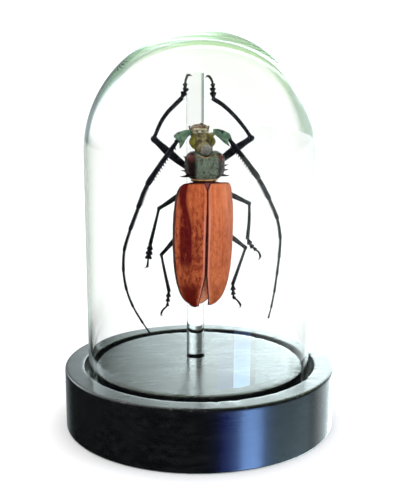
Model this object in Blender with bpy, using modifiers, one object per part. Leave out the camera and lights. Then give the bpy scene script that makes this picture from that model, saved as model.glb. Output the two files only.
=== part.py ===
"""A longhorn beetle mounted on a clear post under a bell-shaped glass dome on a black wooden base.

Metres, +Z up. The origin is the centre of the base's underside. The beetle hangs head up
with its back towards -Y, its belly fixed to the front of the post.
Sizes below are in millimetres and are turned into metres as each solid is made.
"""

import math

import bmesh
import bpy
from mathutils import Matrix, Vector

MM = 0.001
FIT = 0.3                   # gap left between two pieces that touch
MERGE = 0.00005             # merge distance of the turned shapes, in metres

# Base: one turned disc with a round groove for the dome and a socket for the post
BASE_RADIUS = 60.0
BASE_HEIGHT = 27.0
BASE_EDGE = 1.0             # rounding of the outer edges
GROOVE_INNER = 46.0
GROOVE_OUTER = 51.5
GROOVE_DEPTH = 7.0
GROOVE_EDGE = 0.3
BASE_STEPS = 60

# Dome: a glass wall that widens a little to a round crown, where the glass is thickest
DOME_RADIUS = 50.4
DOME_FOOT_RADIUS = 49.1
DOME_WALL = 1.6
DOME_CROWN_GROWTH = 3.2     # how much thicker the wall is at the crown
DOME_GROWTH_POWER = 2.0     # how late on the way to the crown the wall thickens
DOME_CROWN_RISE = 1.0       # how far the crown stands above a half sphere
DOME_RISE_POWER = 2.0
DOME_FOOT = BASE_HEIGHT - GROOVE_DEPTH + FIT
DOME_TOP = 173.2
DOME_STEPS = 44
DOME_ARC_STEPS = 8

# Post: a clear rod behind the beetle
POST_RADIUS = 4.0
POST_CENTRE_Y = 8.2
POST_TOP = 157.3
POST_SINK = 10.0
POST_SIDES = 24

# Beetle: its own frame has x to the right, y from back to belly and z towards the head,
# with the zero at the front edge of the wing cases, level with their side margins
BEETLE_PLACE = Vector((1.0, -3.0, 109.0))
WING_LENGTHS = {"left": 55.4, "right": 55.0}
WING_LENGTH = 56.0
WING_HALF_WIDTH = 13.2
WING_CREST = 8.0            # height of the back above the side margins
WING_THICKNESS = 0.7
WING_WIDEST = 0.38          # where the wing cases are widest, as a share of their length
SHOULDER_RISE = 3.0         # how far the margins rise towards the back at the shoulders
TAIL_DROP = 2.0             # how far the margins drop towards the belly at the tip
CLEFT_START = 0.74          # where the two wing cases begin to part
CLEFT_GAPS = {"left": 2.75, "right": 1.9}
TIP_WIDTHS = {"left": 5.4, "right": 3.6}        # outer ends of the squared tips
SUTURE_HALF_GAP = 0.15
FRONT_LEAN = 0.6            # the front of the back leans this far to the right
NOTCH_LENGTH = 0.06         # front notch that takes the scutellum
NOTCH_HALF_WIDTH = 1.6
BELLY_DEPTH = 5.2           # underside of the body below the side margins
WAIST = 0.48                # where the thorax ends and the abdomen starts
TAIL_END = 0.975            # where the abdomen ends
TAIL_NARROWS = 0.72         # share of the abdomen where its pointed end starts

# Pronotum and head
PRONOTUM_SHIFT = 0.5
PRONOTUM_MIDDLE = 6.5
PRONOTUM_HALF_WIDTH = 8.7
PRONOTUM_HALF_LENGTH = 5.8
PRONOTUM_BACK = 6.6
PRONOTUM_BELLY = 4.6
FRONT_LOBE = 1.1            # how far the front corners stand out
SPINE_TIPS = [(9.6, 11.0), (10.4, 7.0), (10.5, 4.9), (10.9, 2.3)]    # reach and height
SPINE_ROOT = 5.4
HEAD_MIDDLE = 17.1
HEAD_HALF_LENGTH = 4.5
HEAD_HALF_WIDTH = 3.9
EYE_BULGE = 1.75


def power_arc(share, inner, outer):
    """Height of a rounded outline at a share from 0 to 1 of its run: 1 at 0 and 0 at 1."""
    return max(0.0, 1.0 - abs(share) ** inner) ** outer


def wing_half_width(t):
    """Half width of the closed wing cases at a share t of their length from the front."""
    if t < WING_WIDEST:
        shoulder = power_arc((WING_WIDEST - t) / WING_WIDEST, 2.0, 0.5)
        return WING_HALF_WIDTH * (0.75 + 0.25 * shoulder)
    tail = power_arc((t - WING_WIDEST) / (1.0 - WING_WIDEST), 2.4, 0.28)
    return WING_HALF_WIDTH * tail


def wing_crest(t):
    """Height of the wing cases' ridge above the beetle's middle plane."""
    if t < 0.3:
        return WING_CREST * (1.0 - 0.18 * (1.0 - t / 0.3) ** 2)
    return WING_CREST * (1.0 - 0.62 * ((t - 0.3) / 0.7) ** 2.2)


def wing_margin(t):
    """Height of the side margins, which rise at the shoulders and drop at the tip."""
    return SHOULDER_RISE * max(0.0, 1.0 - t / 0.15) ** 2 - TAIL_DROP * t


def wing_inner_edge(t, label):
    """Distance of a wing case's inner edge from the middle of the back."""
    notch = max(0.0, 1.0 - t / NOTCH_LENGTH) * NOTCH_HALF_WIDTH
    cleft = max(0.0, (t - CLEFT_START) / (1.0 - CLEFT_START)) * CLEFT_GAPS[label]
    return SUTURE_HALF_GAP + notch + cleft


def front_lean(t):
    """Sideways shift of the body's middle line, which leans to the right in front."""
    return FRONT_LEAN * max(0.0, 1.0 - t / 0.5)


def ring_direction(ball):
    """Direction across the body's axis of a point of the unit sphere."""
    ring = Vector((ball.x, ball.y, 0.0))
    return ring.normalized() if ring.length > 1e-6 else Vector((0.0, 0.0, 0.0))


def smooth_path(points, parts):
    """Points of a Catmull-Rom curve through the given points, with that many parts a span."""
    ends = [points[0] * 2 - points[1], *points, points[-1] * 2 - points[-2]]
    path = []
    for a, b, c, d in zip(ends, ends[1:], ends[2:], ends[3:]):
        for k in range(parts):
            t = k / parts
            path.append(
                0.5 * (2 * b + (c - a) * t + (2 * a - 5 * b + 4 * c - d) * t * t
                       + (3 * b - a - 3 * c + d) * t ** 3)
            )
    return [*path, points[-1]]


def material(name, colour, roughness, metallic=0.0, transmission=0.0):
    """A Principled material with the piece's colour, roughness and metallic value."""
    made = bpy.data.materials.new(name)
    made.use_nodes = True
    shader = made.node_tree.nodes["Principled BSDF"]
    shader.inputs["Base Color"].default_value = (*colour, 1.0)
    shader.inputs["Roughness"].default_value = roughness
    shader.inputs["Metallic"].default_value = metallic
    shader.inputs["Transmission Weight"].default_value = transmission
    made.diffuse_color = (*colour, 1.0)
    return made


def place(obj, collection, parent=None):
    """Links the object, under its parent if it has one."""
    collection.objects.link(obj)
    obj.parent = parent
    return obj


def mesh_object(name, work, finish, collection, parent=None):
    """An object from a bmesh, smooth but for its sharp edges."""
    mesh = bpy.data.meshes.new(name)
    work.to_mesh(mesh)
    work.free()
    mesh.materials.append(finish)
    mesh.shade_smooth()
    mesh.set_sharp_from_angle(angle=math.radians(40))
    return place(bpy.data.objects.new(name, mesh), collection, parent)


def turned(name, profile, steps, finish, collection):
    """A body of revolution about Z. The profile is (radius, height) from the top of the axis."""
    work = bmesh.new()
    points = [work.verts.new((r * MM, 0.0, z * MM)) for r, z in profile]
    for a, b in zip(points, points[1:]):
        work.edges.new((a, b))
    obj = mesh_object(name, work, finish, collection)
    screw = obj.modifiers.new("Turn", "SCREW")
    screw.steps = steps
    screw.render_steps = steps
    screw.use_merge_vertices = True
    screw.merge_threshold = MERGE
    screw.use_smooth_shade = True
    return obj


def cut(obj, cutter):
    """Subtracts the cutter, which is then only a guide."""
    cutter.hide_render = True
    cutter.display_type = "WIRE"
    boolean = obj.modifiers.new("Cut " + cutter.name, "BOOLEAN")
    boolean.object = cutter
    boolean.operation = "DIFFERENCE"


def cylinder(name, radius, bottom, top, sides, finish, collection, centre_y=0.0):
    """An upright cylinder that stands at centre_y on the Y axis."""
    work = bmesh.new()
    height = (top - bottom) * MM
    bmesh.ops.create_cone(work, cap_ends=True, segments=sides, radius1=radius * MM,
                          radius2=radius * MM, depth=height)
    obj = mesh_object(name, work, finish, collection)
    obj.location = (0.0, centre_y * MM, bottom * MM + height / 2)
    return obj


def shaped_ball(name, shape, segments, rings, finish, collection, parent):
    """A closed body from a unit sphere, whose points a formula moves, in millimetres."""
    work = bmesh.new()
    bmesh.ops.create_uvsphere(work, u_segments=segments, v_segments=rings, radius=1.0)
    for vertex in work.verts:
        vertex.co = shape(vertex.co.copy()) * MM
    return mesh_object(name, work, finish, collection, parent)


def limb(name, path, radii, finish, collection, parent, sides_level=2):
    """A tube through the points, each with its own radius, closed at both ends."""
    curve = bpy.data.curves.new(name, "CURVE")
    curve.dimensions = "3D"
    curve.bevel_depth = MM
    curve.bevel_resolution = sides_level
    curve.use_fill_caps = True
    spline = curve.splines.new("POLY")
    spline.points.add(len(path) - 1)
    for point, where, radius in zip(spline.points, path, radii):
        point.co = (*(where * MM), 1.0)
        point.radius = radius
    curve.materials.append(finish)
    return place(bpy.data.objects.new(name, curve), collection, parent)


def outline_plate(name, outline, half_thickness, finish, collection, parent):
    """A flat plate in the beetle's XZ plane, extruded both ways along Y."""
    curve = bpy.data.curves.new(name, "CURVE")
    curve.dimensions = "2D"
    curve.fill_mode = "BOTH"
    curve.extrude = half_thickness * MM
    spline = curve.splines.new("POLY")
    spline.points.add(len(outline) - 1)
    for point, (x, z) in zip(spline.points, outline):
        point.co = (x * MM, z * MM, 0.0, 1.0)
    spline.use_cyclic_u = True
    curve.materials.append(finish)
    obj = place(bpy.data.objects.new(name, curve), collection, parent)
    obj.rotation_euler = (math.radians(90), 0.0, 0.0)
    return obj


def build_base(finish, collection, cutters):
    """The turned wooden base, with its groove and the post's socket."""
    top = BASE_HEIGHT
    floor = top - GROOVE_DEPTH
    corner = BASE_RADIUS - BASE_EDGE
    rounding = [math.radians(a) for a in (90, 60, 30, 0)]
    profile = [
        (0.0, top),
        (GROOVE_INNER - GROOVE_EDGE, top),
        (GROOVE_INNER, top - GROOVE_EDGE),
        (GROOVE_INNER, floor),
        (GROOVE_OUTER, floor),
        (GROOVE_OUTER, top - GROOVE_EDGE),
        (GROOVE_OUTER + GROOVE_EDGE, top),
        *((corner + BASE_EDGE * math.cos(a), top - BASE_EDGE + BASE_EDGE * math.sin(a))
          for a in rounding),
        *((corner + BASE_EDGE * math.sin(a), BASE_EDGE - BASE_EDGE * math.cos(a))
          for a in rounding),
        (0.0, 0.0),
    ]
    base = turned("base", profile, BASE_STEPS, finish, collection)
    socket = cylinder("socket_cutter", POST_RADIUS + FIT, top - POST_SINK - FIT, top + 5.0,
                      POST_SIDES, finish, cutters, POST_CENTRE_Y)
    cut(base, socket)


def dome_arc(thickness):
    """Quarter arc from the crown to the straight wall, set in by a share of the wall."""
    middle = DOME_TOP - DOME_RADIUS - DOME_CROWN_RISE
    points = []
    for k in range(DOME_ARC_STEPS + 1):
        angle = math.radians(90 - 90 * k / DOME_ARC_STEPS)
        wall = DOME_WALL + DOME_CROWN_GROWTH * math.sin(angle) ** DOME_GROWTH_POWER
        radius = DOME_RADIUS - thickness * wall
        rise = DOME_CROWN_RISE * math.sin(angle) ** DOME_RISE_POWER
        points.append((radius * math.cos(angle), middle + radius * math.sin(angle) + rise))
    points[0] = (0.0, points[0][1])
    return points


def build_dome(finish, collection):
    """The glass dome, a thin shell that is open at its foot."""
    inner = DOME_FOOT_RADIUS - DOME_WALL
    profile = [*dome_arc(0.0), (DOME_FOOT_RADIUS, DOME_FOOT), (inner, DOME_FOOT)]
    profile += reversed(dome_arc(1.0))
    turned("dome", profile, DOME_STEPS, finish, collection)


def build_post(finish, collection):
    """The clear post, which stands in its socket."""
    cylinder("post", POST_RADIUS, BASE_HEIGHT - POST_SINK, POST_TOP, POST_SIDES, finish,
             collection, POST_CENTRE_Y)


def wing_point(u, v, side, label):
    """Point of a wing case, from u along its length and v from inner edge to margin."""
    width = max(TIP_WIDTHS[label], wing_half_width(u))
    inner = wing_inner_edge(u, label)
    turn = v * math.pi / 2
    across = inner + (width - inner) * math.sin(turn) ** 0.92
    margin = wing_margin(u)
    height = margin + (wing_crest(u) - margin) * math.cos(turn) ** 0.80
    slope = 1.2 * v ** 4 * (1.0 - u) ** 12
    return Vector((side * across + front_lean(u), -height, -WING_LENGTHS[label] * u - slope))


def build_wing_case(label, side, finish, collection, parent):
    """One wing case, a curved shell that thickens inwards."""
    rows, columns = 15, 7
    work = bmesh.new()
    bmesh.ops.create_grid(work, x_segments=rows, y_segments=columns, size=0.5)
    for vertex in work.verts:
        along = vertex.co.x + 0.5
        u = 0.5 - 0.5 * math.cos(math.pi * along)
        vertex.co = wing_point(u, vertex.co.y + 0.5, side, label) * MM
    bmesh.ops.recalc_face_normals(work, faces=work.faces)
    crown = max(work.faces, key=lambda face: -face.calc_center_median().y)
    if crown.normal.y > 0:
        bmesh.ops.reverse_faces(work, faces=work.faces)
    obj = mesh_object(f"wing_case_{label}", work, finish, collection, parent)
    shell = obj.modifiers.new("Shell", "SOLIDIFY")
    shell.thickness = WING_THICKNESS * MM
    shell.offset = -1.0


def trunk_point(ball, start, end):
    """Point of the body under the wing cases, between two shares of their length."""
    blunt = math.copysign(abs(ball.z) ** 0.55, ball.z)
    t = (start + end) / 2 - blunt * (end - start) / 2
    taper = power_arc(ball.z, 4.0, 0.25)
    ring = ring_direction(ball)
    clear = min(max(t, 0.0), 0.97)
    share = (t - WAIST) / (TAIL_END - WAIST)
    narrow = max(0.0, (share - TAIL_NARROWS) / (1.0 - TAIL_NARROWS))
    margin = wing_margin(clear)
    across = ring.x * (wing_half_width(clear) - 1.9) * taper * (1.0 - 0.6 * narrow)
    across += front_lean(clear) - 1.4 * narrow
    if ring.y < 0:
        depth = ring.y * (wing_crest(clear) - WING_THICKNESS) * 0.70 * taper
    else:
        depth = ring.y * BELLY_DEPTH * taper
    return Vector((across, depth - 0.35 * margin, -WING_LENGTH * t))


def build_trunk(thorax, abdomen, collection, parent):
    """The rear thorax and the abdomen, under the wing cases."""
    gap = FIT / WING_LENGTH / 2
    spans = {"thorax": (0.0, WAIST - gap, thorax), "abdomen": (WAIST + gap, TAIL_END, abdomen)}
    for name, (start, end, finish) in spans.items():
        shaped_ball(name, lambda ball, a=start, b=end: trunk_point(ball, a, b),
                    18, 10, finish, collection, parent)


def pronotum_point(ball):
    """Point of the shield behind the head, widest in its middle and narrow at both ends."""
    along = math.copysign(abs(ball.z) ** 0.6, ball.z)
    waist = 1.0 - 0.14 * max(0.0, along) ** 4 - 0.30 * max(0.0, -along) ** 3
    ring = ring_direction(ball)
    taper = power_arc(ball.z, 6.0, 0.3) * waist
    depth = PRONOTUM_BACK if ring.y < 0 else PRONOTUM_BELLY
    lobe = FRONT_LOBE * ring.x ** 2 * max(0.0, along) ** 3
    return Vector((PRONOTUM_SHIFT + PRONOTUM_HALF_WIDTH * ring.x * taper,
                   depth * ring.y * taper - 1.0,
                   PRONOTUM_MIDDLE + PRONOTUM_HALF_LENGTH * along + lobe))


def build_pronotum(finish, collection, parent, cutters):
    """The shield behind the head, with its side spines joined to it."""
    shield = shaped_ball("pronotum", pronotum_point, 20, 10, finish, collection, parent)
    for index, (reach, height) in enumerate(SPINE_TIPS):
        for side, label in ((-1, "left"), (1, "right")):
            root = Vector((PRONOTUM_SHIFT + side * SPINE_ROOT, -1.5, height * 0.8 + 1.2))
            tip = Vector((PRONOTUM_SHIFT + side * reach, -1.5, height))
            work = bmesh.new()
            bmesh.ops.create_cone(work, cap_ends=True, segments=6, radius1=1.1 * MM,
                                  radius2=0.08 * MM, depth=(tip - root).length * MM)
            aim = (tip - root).to_track_quat("Z", "Y").to_matrix().to_4x4()
            middle = Matrix.Translation((root + tip) / 2 * MM)
            bmesh.ops.transform(work, matrix=middle @ aim, verts=work.verts)
            spine = mesh_object(f"spine_{label}_{index}", work, finish, cutters, parent)
            spine.hide_render = True
            spine.display_type = "WIRE"
            join = shield.modifiers.new(spine.name, "BOOLEAN")
            join.operation = "UNION"
            join.object = spine


def head_point(ball):
    """Point of the head capsule, which leans towards the belly in front."""
    along = math.copysign(abs(ball.z) ** 0.62, ball.z)
    height = HEAD_MIDDLE + HEAD_HALF_LENGTH * along
    eyes = math.exp(-((height - HEAD_MIDDLE) / 2.1) ** 2)
    ring = ring_direction(ball)
    taper = power_arc(ball.z, 6.0, 0.3)
    across = (HEAD_HALF_WIDTH + EYE_BULGE * eyes) * ring.x * taper
    depth = (3.9 if ring.y < 0 else 3.3) * ring.y * taper
    return Vector((across - 0.3 - 0.4 * along, depth + 1.6 * along, height))


def build_head(finish, collection, parent):
    """The head capsule and its two jaws."""
    shaped_ball("head", head_point, 18, 10, finish, collection, parent)
    for side, label in ((-1, "left"), (1, "right")):
        guide = [Vector((side * 2.3 - 0.8, 2.4, 22.6)), Vector((side * 2.5 - 0.8, 2.5, 23.6)),
                 Vector((side * 1.4 - 0.8, 2.6, 24.6))]
        path = smooth_path(guide, 2)
        limb(f"mandible_{label}", path, (1.1, 1.3, 1.2, 0.95, 0.55), finish, collection,
             parent)


def build_scutellum(finish, collection, parent):
    """The small plate in the notch between the wing cases."""
    outline = [(-1.3, -0.35), (1.3, -0.35), (0.0, -2.8)]
    plate = outline_plate("scutellum", outline, 0.35, finish, collection, parent)
    plate.location = (FRONT_LEAN * MM, -(WING_CREST * 0.82 - 0.2) * MM, 0.0)


# Antennae: the joints of each whip after its first, broad joint, as (x, z) at ANTENNA_DEPTH
ANTENNA_DEPTH = -2.0
ANTENNA_JOINTS = {
    "left": [(-11.8, 17.4), (-24.2, -0.3), (-28.4, -10.2), (-32.0, -19.6), (-34.7, -28.6),
             (-35.2, -37.7), (-34.0, -46.0), (-31.3, -53.7), (-27.2, -61.2), (-24.3, -65.7)],
    "right": [(11.2, 18.0), (23.9, 1.2), (29.2, -8.3), (33.1, -17.2), (34.7, -26.2),
              (34.3, -34.7), (33.4, -42.7), (32.3, -50.6), (31.0, -57.4), (29.8, -62.2)],
}
ANTENNA_RADII = [(0.75, 1.10), (0.70, 0.90), (0.60, 0.78), (0.50, 0.68), (0.42, 0.60),
                 (0.38, 0.54), (0.34, 0.48), (0.30, 0.42), (0.26, 0.40)]
SCAPE_OUTLINES = {
    "left": [(-5.1, 22.3), (-6.6, 22.7), (-8.6, 22.5), (-11.4, 21.6), (-13.1, 20.2),
             (-12.9, 19.3), (-11.8, 18.5), (-10.6, 16.6), (-10.5, 14.2), (-9.2, 16.0),
             (-8.0, 18.3), (-6.8, 19.9), (-5.1, 20.8)],
    "right": [(4.0, 21.0), (6.6, 18.8), (8.8, 16.7), (11.3, 14.9), (10.6, 16.7),
              (10.6, 17.9), (11.6, 18.4), (11.8, 19.7), (11.1, 20.9), (8.8, 22.2),
              (6.2, 23.0), (4.0, 22.9)],
}


def build_antennae(finish, collection, parent):
    """Each antenna: a broad first joint with a spine, and a whip of nine joints."""
    for label, joints in ANTENNA_JOINTS.items():
        plate = outline_plate(f"scape_{label}", SCAPE_OUTLINES[label], 0.8, finish,
                              collection, parent)
        plate.location = (0.0, ANTENNA_DEPTH * MM, 0.0)
        path, radii = [], []
        ends = [Vector((x, ANTENNA_DEPTH, z)) for x, z in joints]
        ends[0] += (ends[1] - ends[0]).normalized() * 1.6
        for start, end, (thin, thick) in zip(ends, ends[1:], ANTENNA_RADII):
            path += [start, start.lerp(end, 0.84), start.lerp(end, 0.97)]
            radii += [thin, (thin + thick) / 2, thick]
        path.append(ends[-1])
        radii.append(0.2)
        limb(f"flagellum_{label}", path, radii, finish, collection, parent)


# Legs: hip, knee, ankle and the foot's points in the beetle's frame, and the radii in mm
LEGS = {
    "front_left": {
        "hip": (-4.8, 5.4, 4.4), "knee": (-20.9, 2.0, 18.6), "bow": (-15.5, 0.8, 29.7),
        "ankle": (-9.3, 0.2, 36.2),
        "foot": [(-7.5, 0.0, 40.1), (-7.3, 0.0, 44.6), (-4.7, 0.0, 46.2)],
        "thigh": 1.65, "shin": (0.8, 1.0)},
    "front_right": {
        "hip": (5.0, 5.4, 4.8), "knee": (21.9, 2.0, 18.4), "bow": (13.2, 0.8, 29.8),
        "ankle": (4.6, 0.2, 36.1),
        "foot": [(4.2, 0.0, 40.2), (3.8, 0.0, 44.2), (0.9, 0.0, 45.8)],
        "thigh": 1.65, "shin": (0.8, 1.0)},
    "middle_left": {
        "hip": (-5.2, 6.2, -3.4), "knee": (-18.6, 4.4, -12.1), "bow": (-20.5, 4.2, -19.6),
        "ankle": (-22.5, 4.1, -27.2),
        "foot": [(-23.4, 4.0, -33.6), (-24.0, 4.0, -38.0), (-25.4, 4.0, -38.4)],
        "thigh": 1.0, "shin": (0.55, 0.85)},
    "middle_right": {
        "hip": (5.4, 6.2, -3.8), "knee": (22.0, 4.4, -11.1), "bow": (22.0, 4.2, -18.6),
        "ankle": (21.3, 4.1, -26.6),
        "foot": [(24.6, 4.0, -31.6), (27.3, 4.0, -34.9), (26.1, 4.0, -37.1)],
        "thigh": 1.05, "shin": (0.6, 0.88)},
    "hind_left": {
        "hip": (-5.6, 6.2, -19.0), "knee": (-17.7, 4.4, -32.6), "bow": (-16.4, 4.2, -39.8),
        "ankle": (-14.5, 4.1, -48.9),
        "foot": [(-15.2, 4.0, -55.2), (-18.0, 4.0, -59.2), (-17.4, 4.0, -60.8)],
        "thigh": 0.95, "shin": (0.52, 0.8)},
    "hind_right": {
        "hip": (5.6, 6.2, -20.4), "knee": (20.5, 4.4, -31.0), "bow": (18.2, 4.2, -37.4),
        "ankle": (14.7, 4.1, -47.2),
        "foot": [(15.2, 4.0, -53.4), (18.3, 4.0, -57.4), (17.4, 4.0, -58.9)],
        "thigh": 1.0, "shin": (0.58, 0.85)},
}


def build_leg(name, leg, finish, collection, parent):
    """Hip, thigh, shin and foot of one leg, each a solid of its own."""
    hip, knee, bow, ankle = (Vector(leg[k]) for k in ("hip", "knee", "bow", "ankle"))
    thigh = leg["thigh"]
    along = (knee - hip).normalized()
    ball = 1.25 * thigh
    shaped_ball(f"coxa_{name}", lambda p: p * ball + hip, 10, 6, finish, collection, parent)
    start = hip + along * (ball + FIT)
    end = knee - along * 0.2
    shares, radii = (0.0, 0.15, 0.5, 0.85, 1.0), (0.55, 0.85, 1.0, 0.85, 0.6)
    limb(f"femur_{name}", [start.lerp(end, s) for s in shares], [thigh * r for r in radii],
         finish, collection, parent)
    thin, thick = leg["shin"]
    shin_start = knee + (bow - knee).normalized() * (thigh * 0.8 + FIT)
    shin = smooth_path([shin_start, bow, ankle], 3)
    limb(f"tibia_{name}", shin, [thin + (thick - thin) * k / 6 for k in range(7)], finish,
         collection, parent)
    foot = [Vector(p) for p in leg["foot"]]
    foot_start = ankle + (foot[0] - ankle).normalized() * (thick * 0.7 + FIT)
    path = smooth_path([foot_start, *foot], 3)
    foot_radii = (0.45, 0.85, 0.65, 1.0, 0.32, 0.32, 0.42, 0.30, 0.22, 0.12)
    limb(f"tarsus_{name}", path, foot_radii, finish, collection, parent)


def build_adhesive(finish, collection, parent):
    """The pad of clear adhesive between the beetle's chest and the post."""
    chest = BELLY_DEPTH + 0.14 + FIT
    post_front = POST_CENTRE_Y - POST_RADIUS - BEETLE_PLACE.y - FIT
    centre = Vector((-BEETLE_PLACE.x, (chest + post_front) / 2, -12.0))
    half = Vector((2.2, (post_front - chest) / 2, 4.5))
    shaped_ball("adhesive_dab", lambda p: centre + p * half, 12, 6, finish, collection, parent)


def clear_scene():
    """Removes what the scene starts with."""
    for obj in list(bpy.data.objects):
        bpy.data.objects.remove(obj)


def main():
    """Builds every piece."""
    clear_scene()
    scene = bpy.context.scene.collection
    parts = bpy.data.collections.new("beetle_in_glass_dome")
    cutters = bpy.data.collections.new("cutters")
    cutters.hide_render = True
    scene.children.link(parts)
    scene.children.link(cutters)

    black_wood = material("black_wood", (0.012, 0.016, 0.018), 0.35)
    glass = material("clear_glass", (0.97, 0.99, 0.98), 0.02, transmission=1.0)
    acrylic = material("clear_acrylic", (0.98, 0.99, 0.99), 0.05, transmission=1.0)
    chestnut = material("chestnut_shell", (0.30, 0.085, 0.028), 0.32)
    black_shell = material("black_shell", (0.012, 0.009, 0.009), 0.30)
    dark_red_shell = material("dark_red_shell", (0.050, 0.012, 0.009), 0.35)
    olive_shell = material("olive_shell", (0.060, 0.052, 0.016), 0.40)
    tan_belly = material("tan_belly", (0.33, 0.14, 0.06), 0.45)

    build_base(black_wood, parts, cutters)
    build_dome(glass, parts)
    build_post(acrylic, parts)

    specimen = bpy.data.objects.new("specimen", None)
    specimen.location = BEETLE_PLACE * MM
    parts.objects.link(specimen)
    for side, label in ((-1, "left"), (1, "right")):
        build_wing_case(label, side, chestnut, parts, specimen)
    build_scutellum(black_shell, parts, specimen)
    build_trunk(dark_red_shell, tan_belly, parts, specimen)
    build_pronotum(dark_red_shell, parts, specimen, cutters)
    build_head(olive_shell, parts, specimen)
    build_antennae(black_shell, parts, specimen)
    for name, leg in LEGS.items():
        build_leg(name, leg, black_shell, parts, specimen)
    build_adhesive(acrylic, parts, specimen)


main()
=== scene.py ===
"""Dresses a long-horned beetle that hangs on a clear rod under a glass dome on a black turned base.

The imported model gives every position. The beetle is drawn in its own frame, in millimetres: x to
the right, y from back to belly and z towards the head, with zero at the wing cases' front edge.
"""

from __future__ import annotations

import logging
import math
from dataclasses import dataclass, field
from enum import Enum
from typing import Callable, Sequence

import bmesh
import bpy
from mathutils import Matrix, Vector, noise

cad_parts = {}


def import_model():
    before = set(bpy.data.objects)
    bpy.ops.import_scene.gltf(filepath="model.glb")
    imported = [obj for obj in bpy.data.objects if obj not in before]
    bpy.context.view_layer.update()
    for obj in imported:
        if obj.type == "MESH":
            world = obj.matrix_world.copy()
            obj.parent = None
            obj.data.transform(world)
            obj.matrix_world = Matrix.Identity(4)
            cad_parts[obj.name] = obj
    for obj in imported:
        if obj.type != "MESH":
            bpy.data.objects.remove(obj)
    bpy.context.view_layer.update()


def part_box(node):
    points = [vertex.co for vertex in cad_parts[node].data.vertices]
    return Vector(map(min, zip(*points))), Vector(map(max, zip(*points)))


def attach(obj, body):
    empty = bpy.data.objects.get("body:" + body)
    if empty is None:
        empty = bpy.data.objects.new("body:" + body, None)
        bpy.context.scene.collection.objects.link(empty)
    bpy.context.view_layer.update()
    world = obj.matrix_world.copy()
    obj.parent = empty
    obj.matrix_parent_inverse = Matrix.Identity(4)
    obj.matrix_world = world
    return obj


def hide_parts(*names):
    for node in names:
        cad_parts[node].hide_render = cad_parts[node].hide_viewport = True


LOG = logging.getLogger("insect_dome")
MM = 0.001
BODY = "root"
SHARP_ANGLE = math.radians(42.0)
BEETLE_PLACE = Vector((1.0, -3.0, 109.0))
BEETLE_FRAME = Matrix.Translation(BEETLE_PLACE * MM) @ Matrix.Scale(MM, 4)
MILLIMETRES = Matrix.Scale(MM, 4)
TO_BELLY = Vector((0.0, 1.0, 0.0))
UPWARD = Vector((0.0, 0.0, 1.0))
ORIGIN = Vector((0.0, 0.0, 0.0))
EVEN = (1.0, 1.0, 1.0)
NO_LIGHT = (0.0, 0.0, 0.0)
SPIKE_TIP = 0.05
CAP_ANGLES = (30.0, 58.0, 84.0)
MERGE = 0.0005
NEAR = 0.01
CLEAR_TO = ("diffuse", "shadow")
LAMP_HIDDEN_FROM = ("glossy", "transmission")

BMVert, BMEdge = bmesh.types.BMVert, bmesh.types.BMEdge
Socket = bpy.types.NodeSocket
Ramp = tuple[float, float, float, float]
Sided = tuple[float, float, float, float]
Triple = tuple[float, float, float]
Colour = Triple
Pair = tuple[float, float]
Widths = Callable[[float], Pair]


class Slot(Enum):
    """The record's material slots."""

    WOOD = "black_wood"
    GLASS = "clear_glass"
    ACRYLIC = "clear_acrylic"
    CHESTNUT = "chestnut_shell"
    DARK_RED = "dark_red_shell"
    OLIVE = "olive_shell"
    BLACK = "black_shell"
    TAN = "tan_belly"


class Side(Enum):
    """The two sides of the beetle, by the sign of x."""

    LEFT = -1
    RIGHT = 1

    @property
    def label(self) -> str:
        """The side's name as the frame spells it."""
        return self.name.lower()


Sides = dict[Side, float]


def shade(red: float, green: float, blue: float) -> Colour:
    """Turns a colour as the eye names it, from 0 to 255, into linear light."""
    parts = (part / 255.0 for part in (red, green, blue))
    return tuple(p / 12.92 if p <= 0.04045 else ((p + 0.055) / 1.055) ** 2.4 for p in parts)


def power_arc(share: float, inner: float, outer: float) -> float:
    """Height of a rounded outline, 1 at a share of 0 and 0 at a share of 1."""
    return max(0.0, 1.0 - abs(share) ** inner) ** outer


def hump(value: float, centre: float, half_width: float) -> float:
    """A soft bell of height 1 round a centre."""
    return math.exp(-(((value - centre) / half_width) ** 2))


def node_box(node: str) -> tuple[Vector, Vector]:
    """The two corners of a CAD node's box, in millimetres."""
    low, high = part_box(node)
    return low / MM, high / MM


def axes_at(path: Sequence[Vector], share: float, step: float) -> tuple[Vector, Vector, Vector]:
    """A point at a share of a path, the way ahead there and the way to the side."""
    here, there = cut_path(path, share, share + step, 1)
    return here, (there - here).normalized(), (there - here).normalized().cross(TO_BELLY)


def on_side(side: Side, points: Sequence[Sided]) -> list[Vector]:
    """Points of one side, from their reach, a shift that both sides share, depth and height."""
    return [Vector((side.value * reach + shift, y, z)) for reach, shift, y, z in points]


def only(kind: type, parts: Sequence[object]) -> list:
    """The parts of one kind."""
    return [part for part in parts if isinstance(part, kind)]


def edges_at(verts: Sequence[BMVert]) -> list[BMEdge]:
    """The edges at some points, each once and always in the same order."""
    return list(dict.fromkeys(edge for vert in verts for edge in vert.link_edges))


def mesh_of(work: bmesh.types.BMesh, name: str, material: bpy.types.Material) -> bpy.types.Mesh:
    """Turns a mesh in the making into a finished one.

    Args:
        work: The mesh in the making.
        name: The mesh's name.
        material: Its finish.

    Returns:
        The finished mesh.
    """
    mesh = bpy.data.meshes.new(name)
    work.to_mesh(mesh)
    work.free()
    mesh.materials.append(material)
    return mesh


def put_in_scene(name: str, data: bpy.types.ID, *hidden_from: str) -> bpy.types.Object:
    """Adds an object to the scene, hidden from some kinds of ray.

    Args:
        name: The object's name.
        data: The mesh, light or camera that it shows.
        hidden_from: Kinds of ray that don't see it.

    Returns:
        The new object.
    """
    made = bpy.data.objects.new(name, data)
    bpy.context.scene.collection.objects.link(made)
    return hide(made, *hidden_from)


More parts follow.
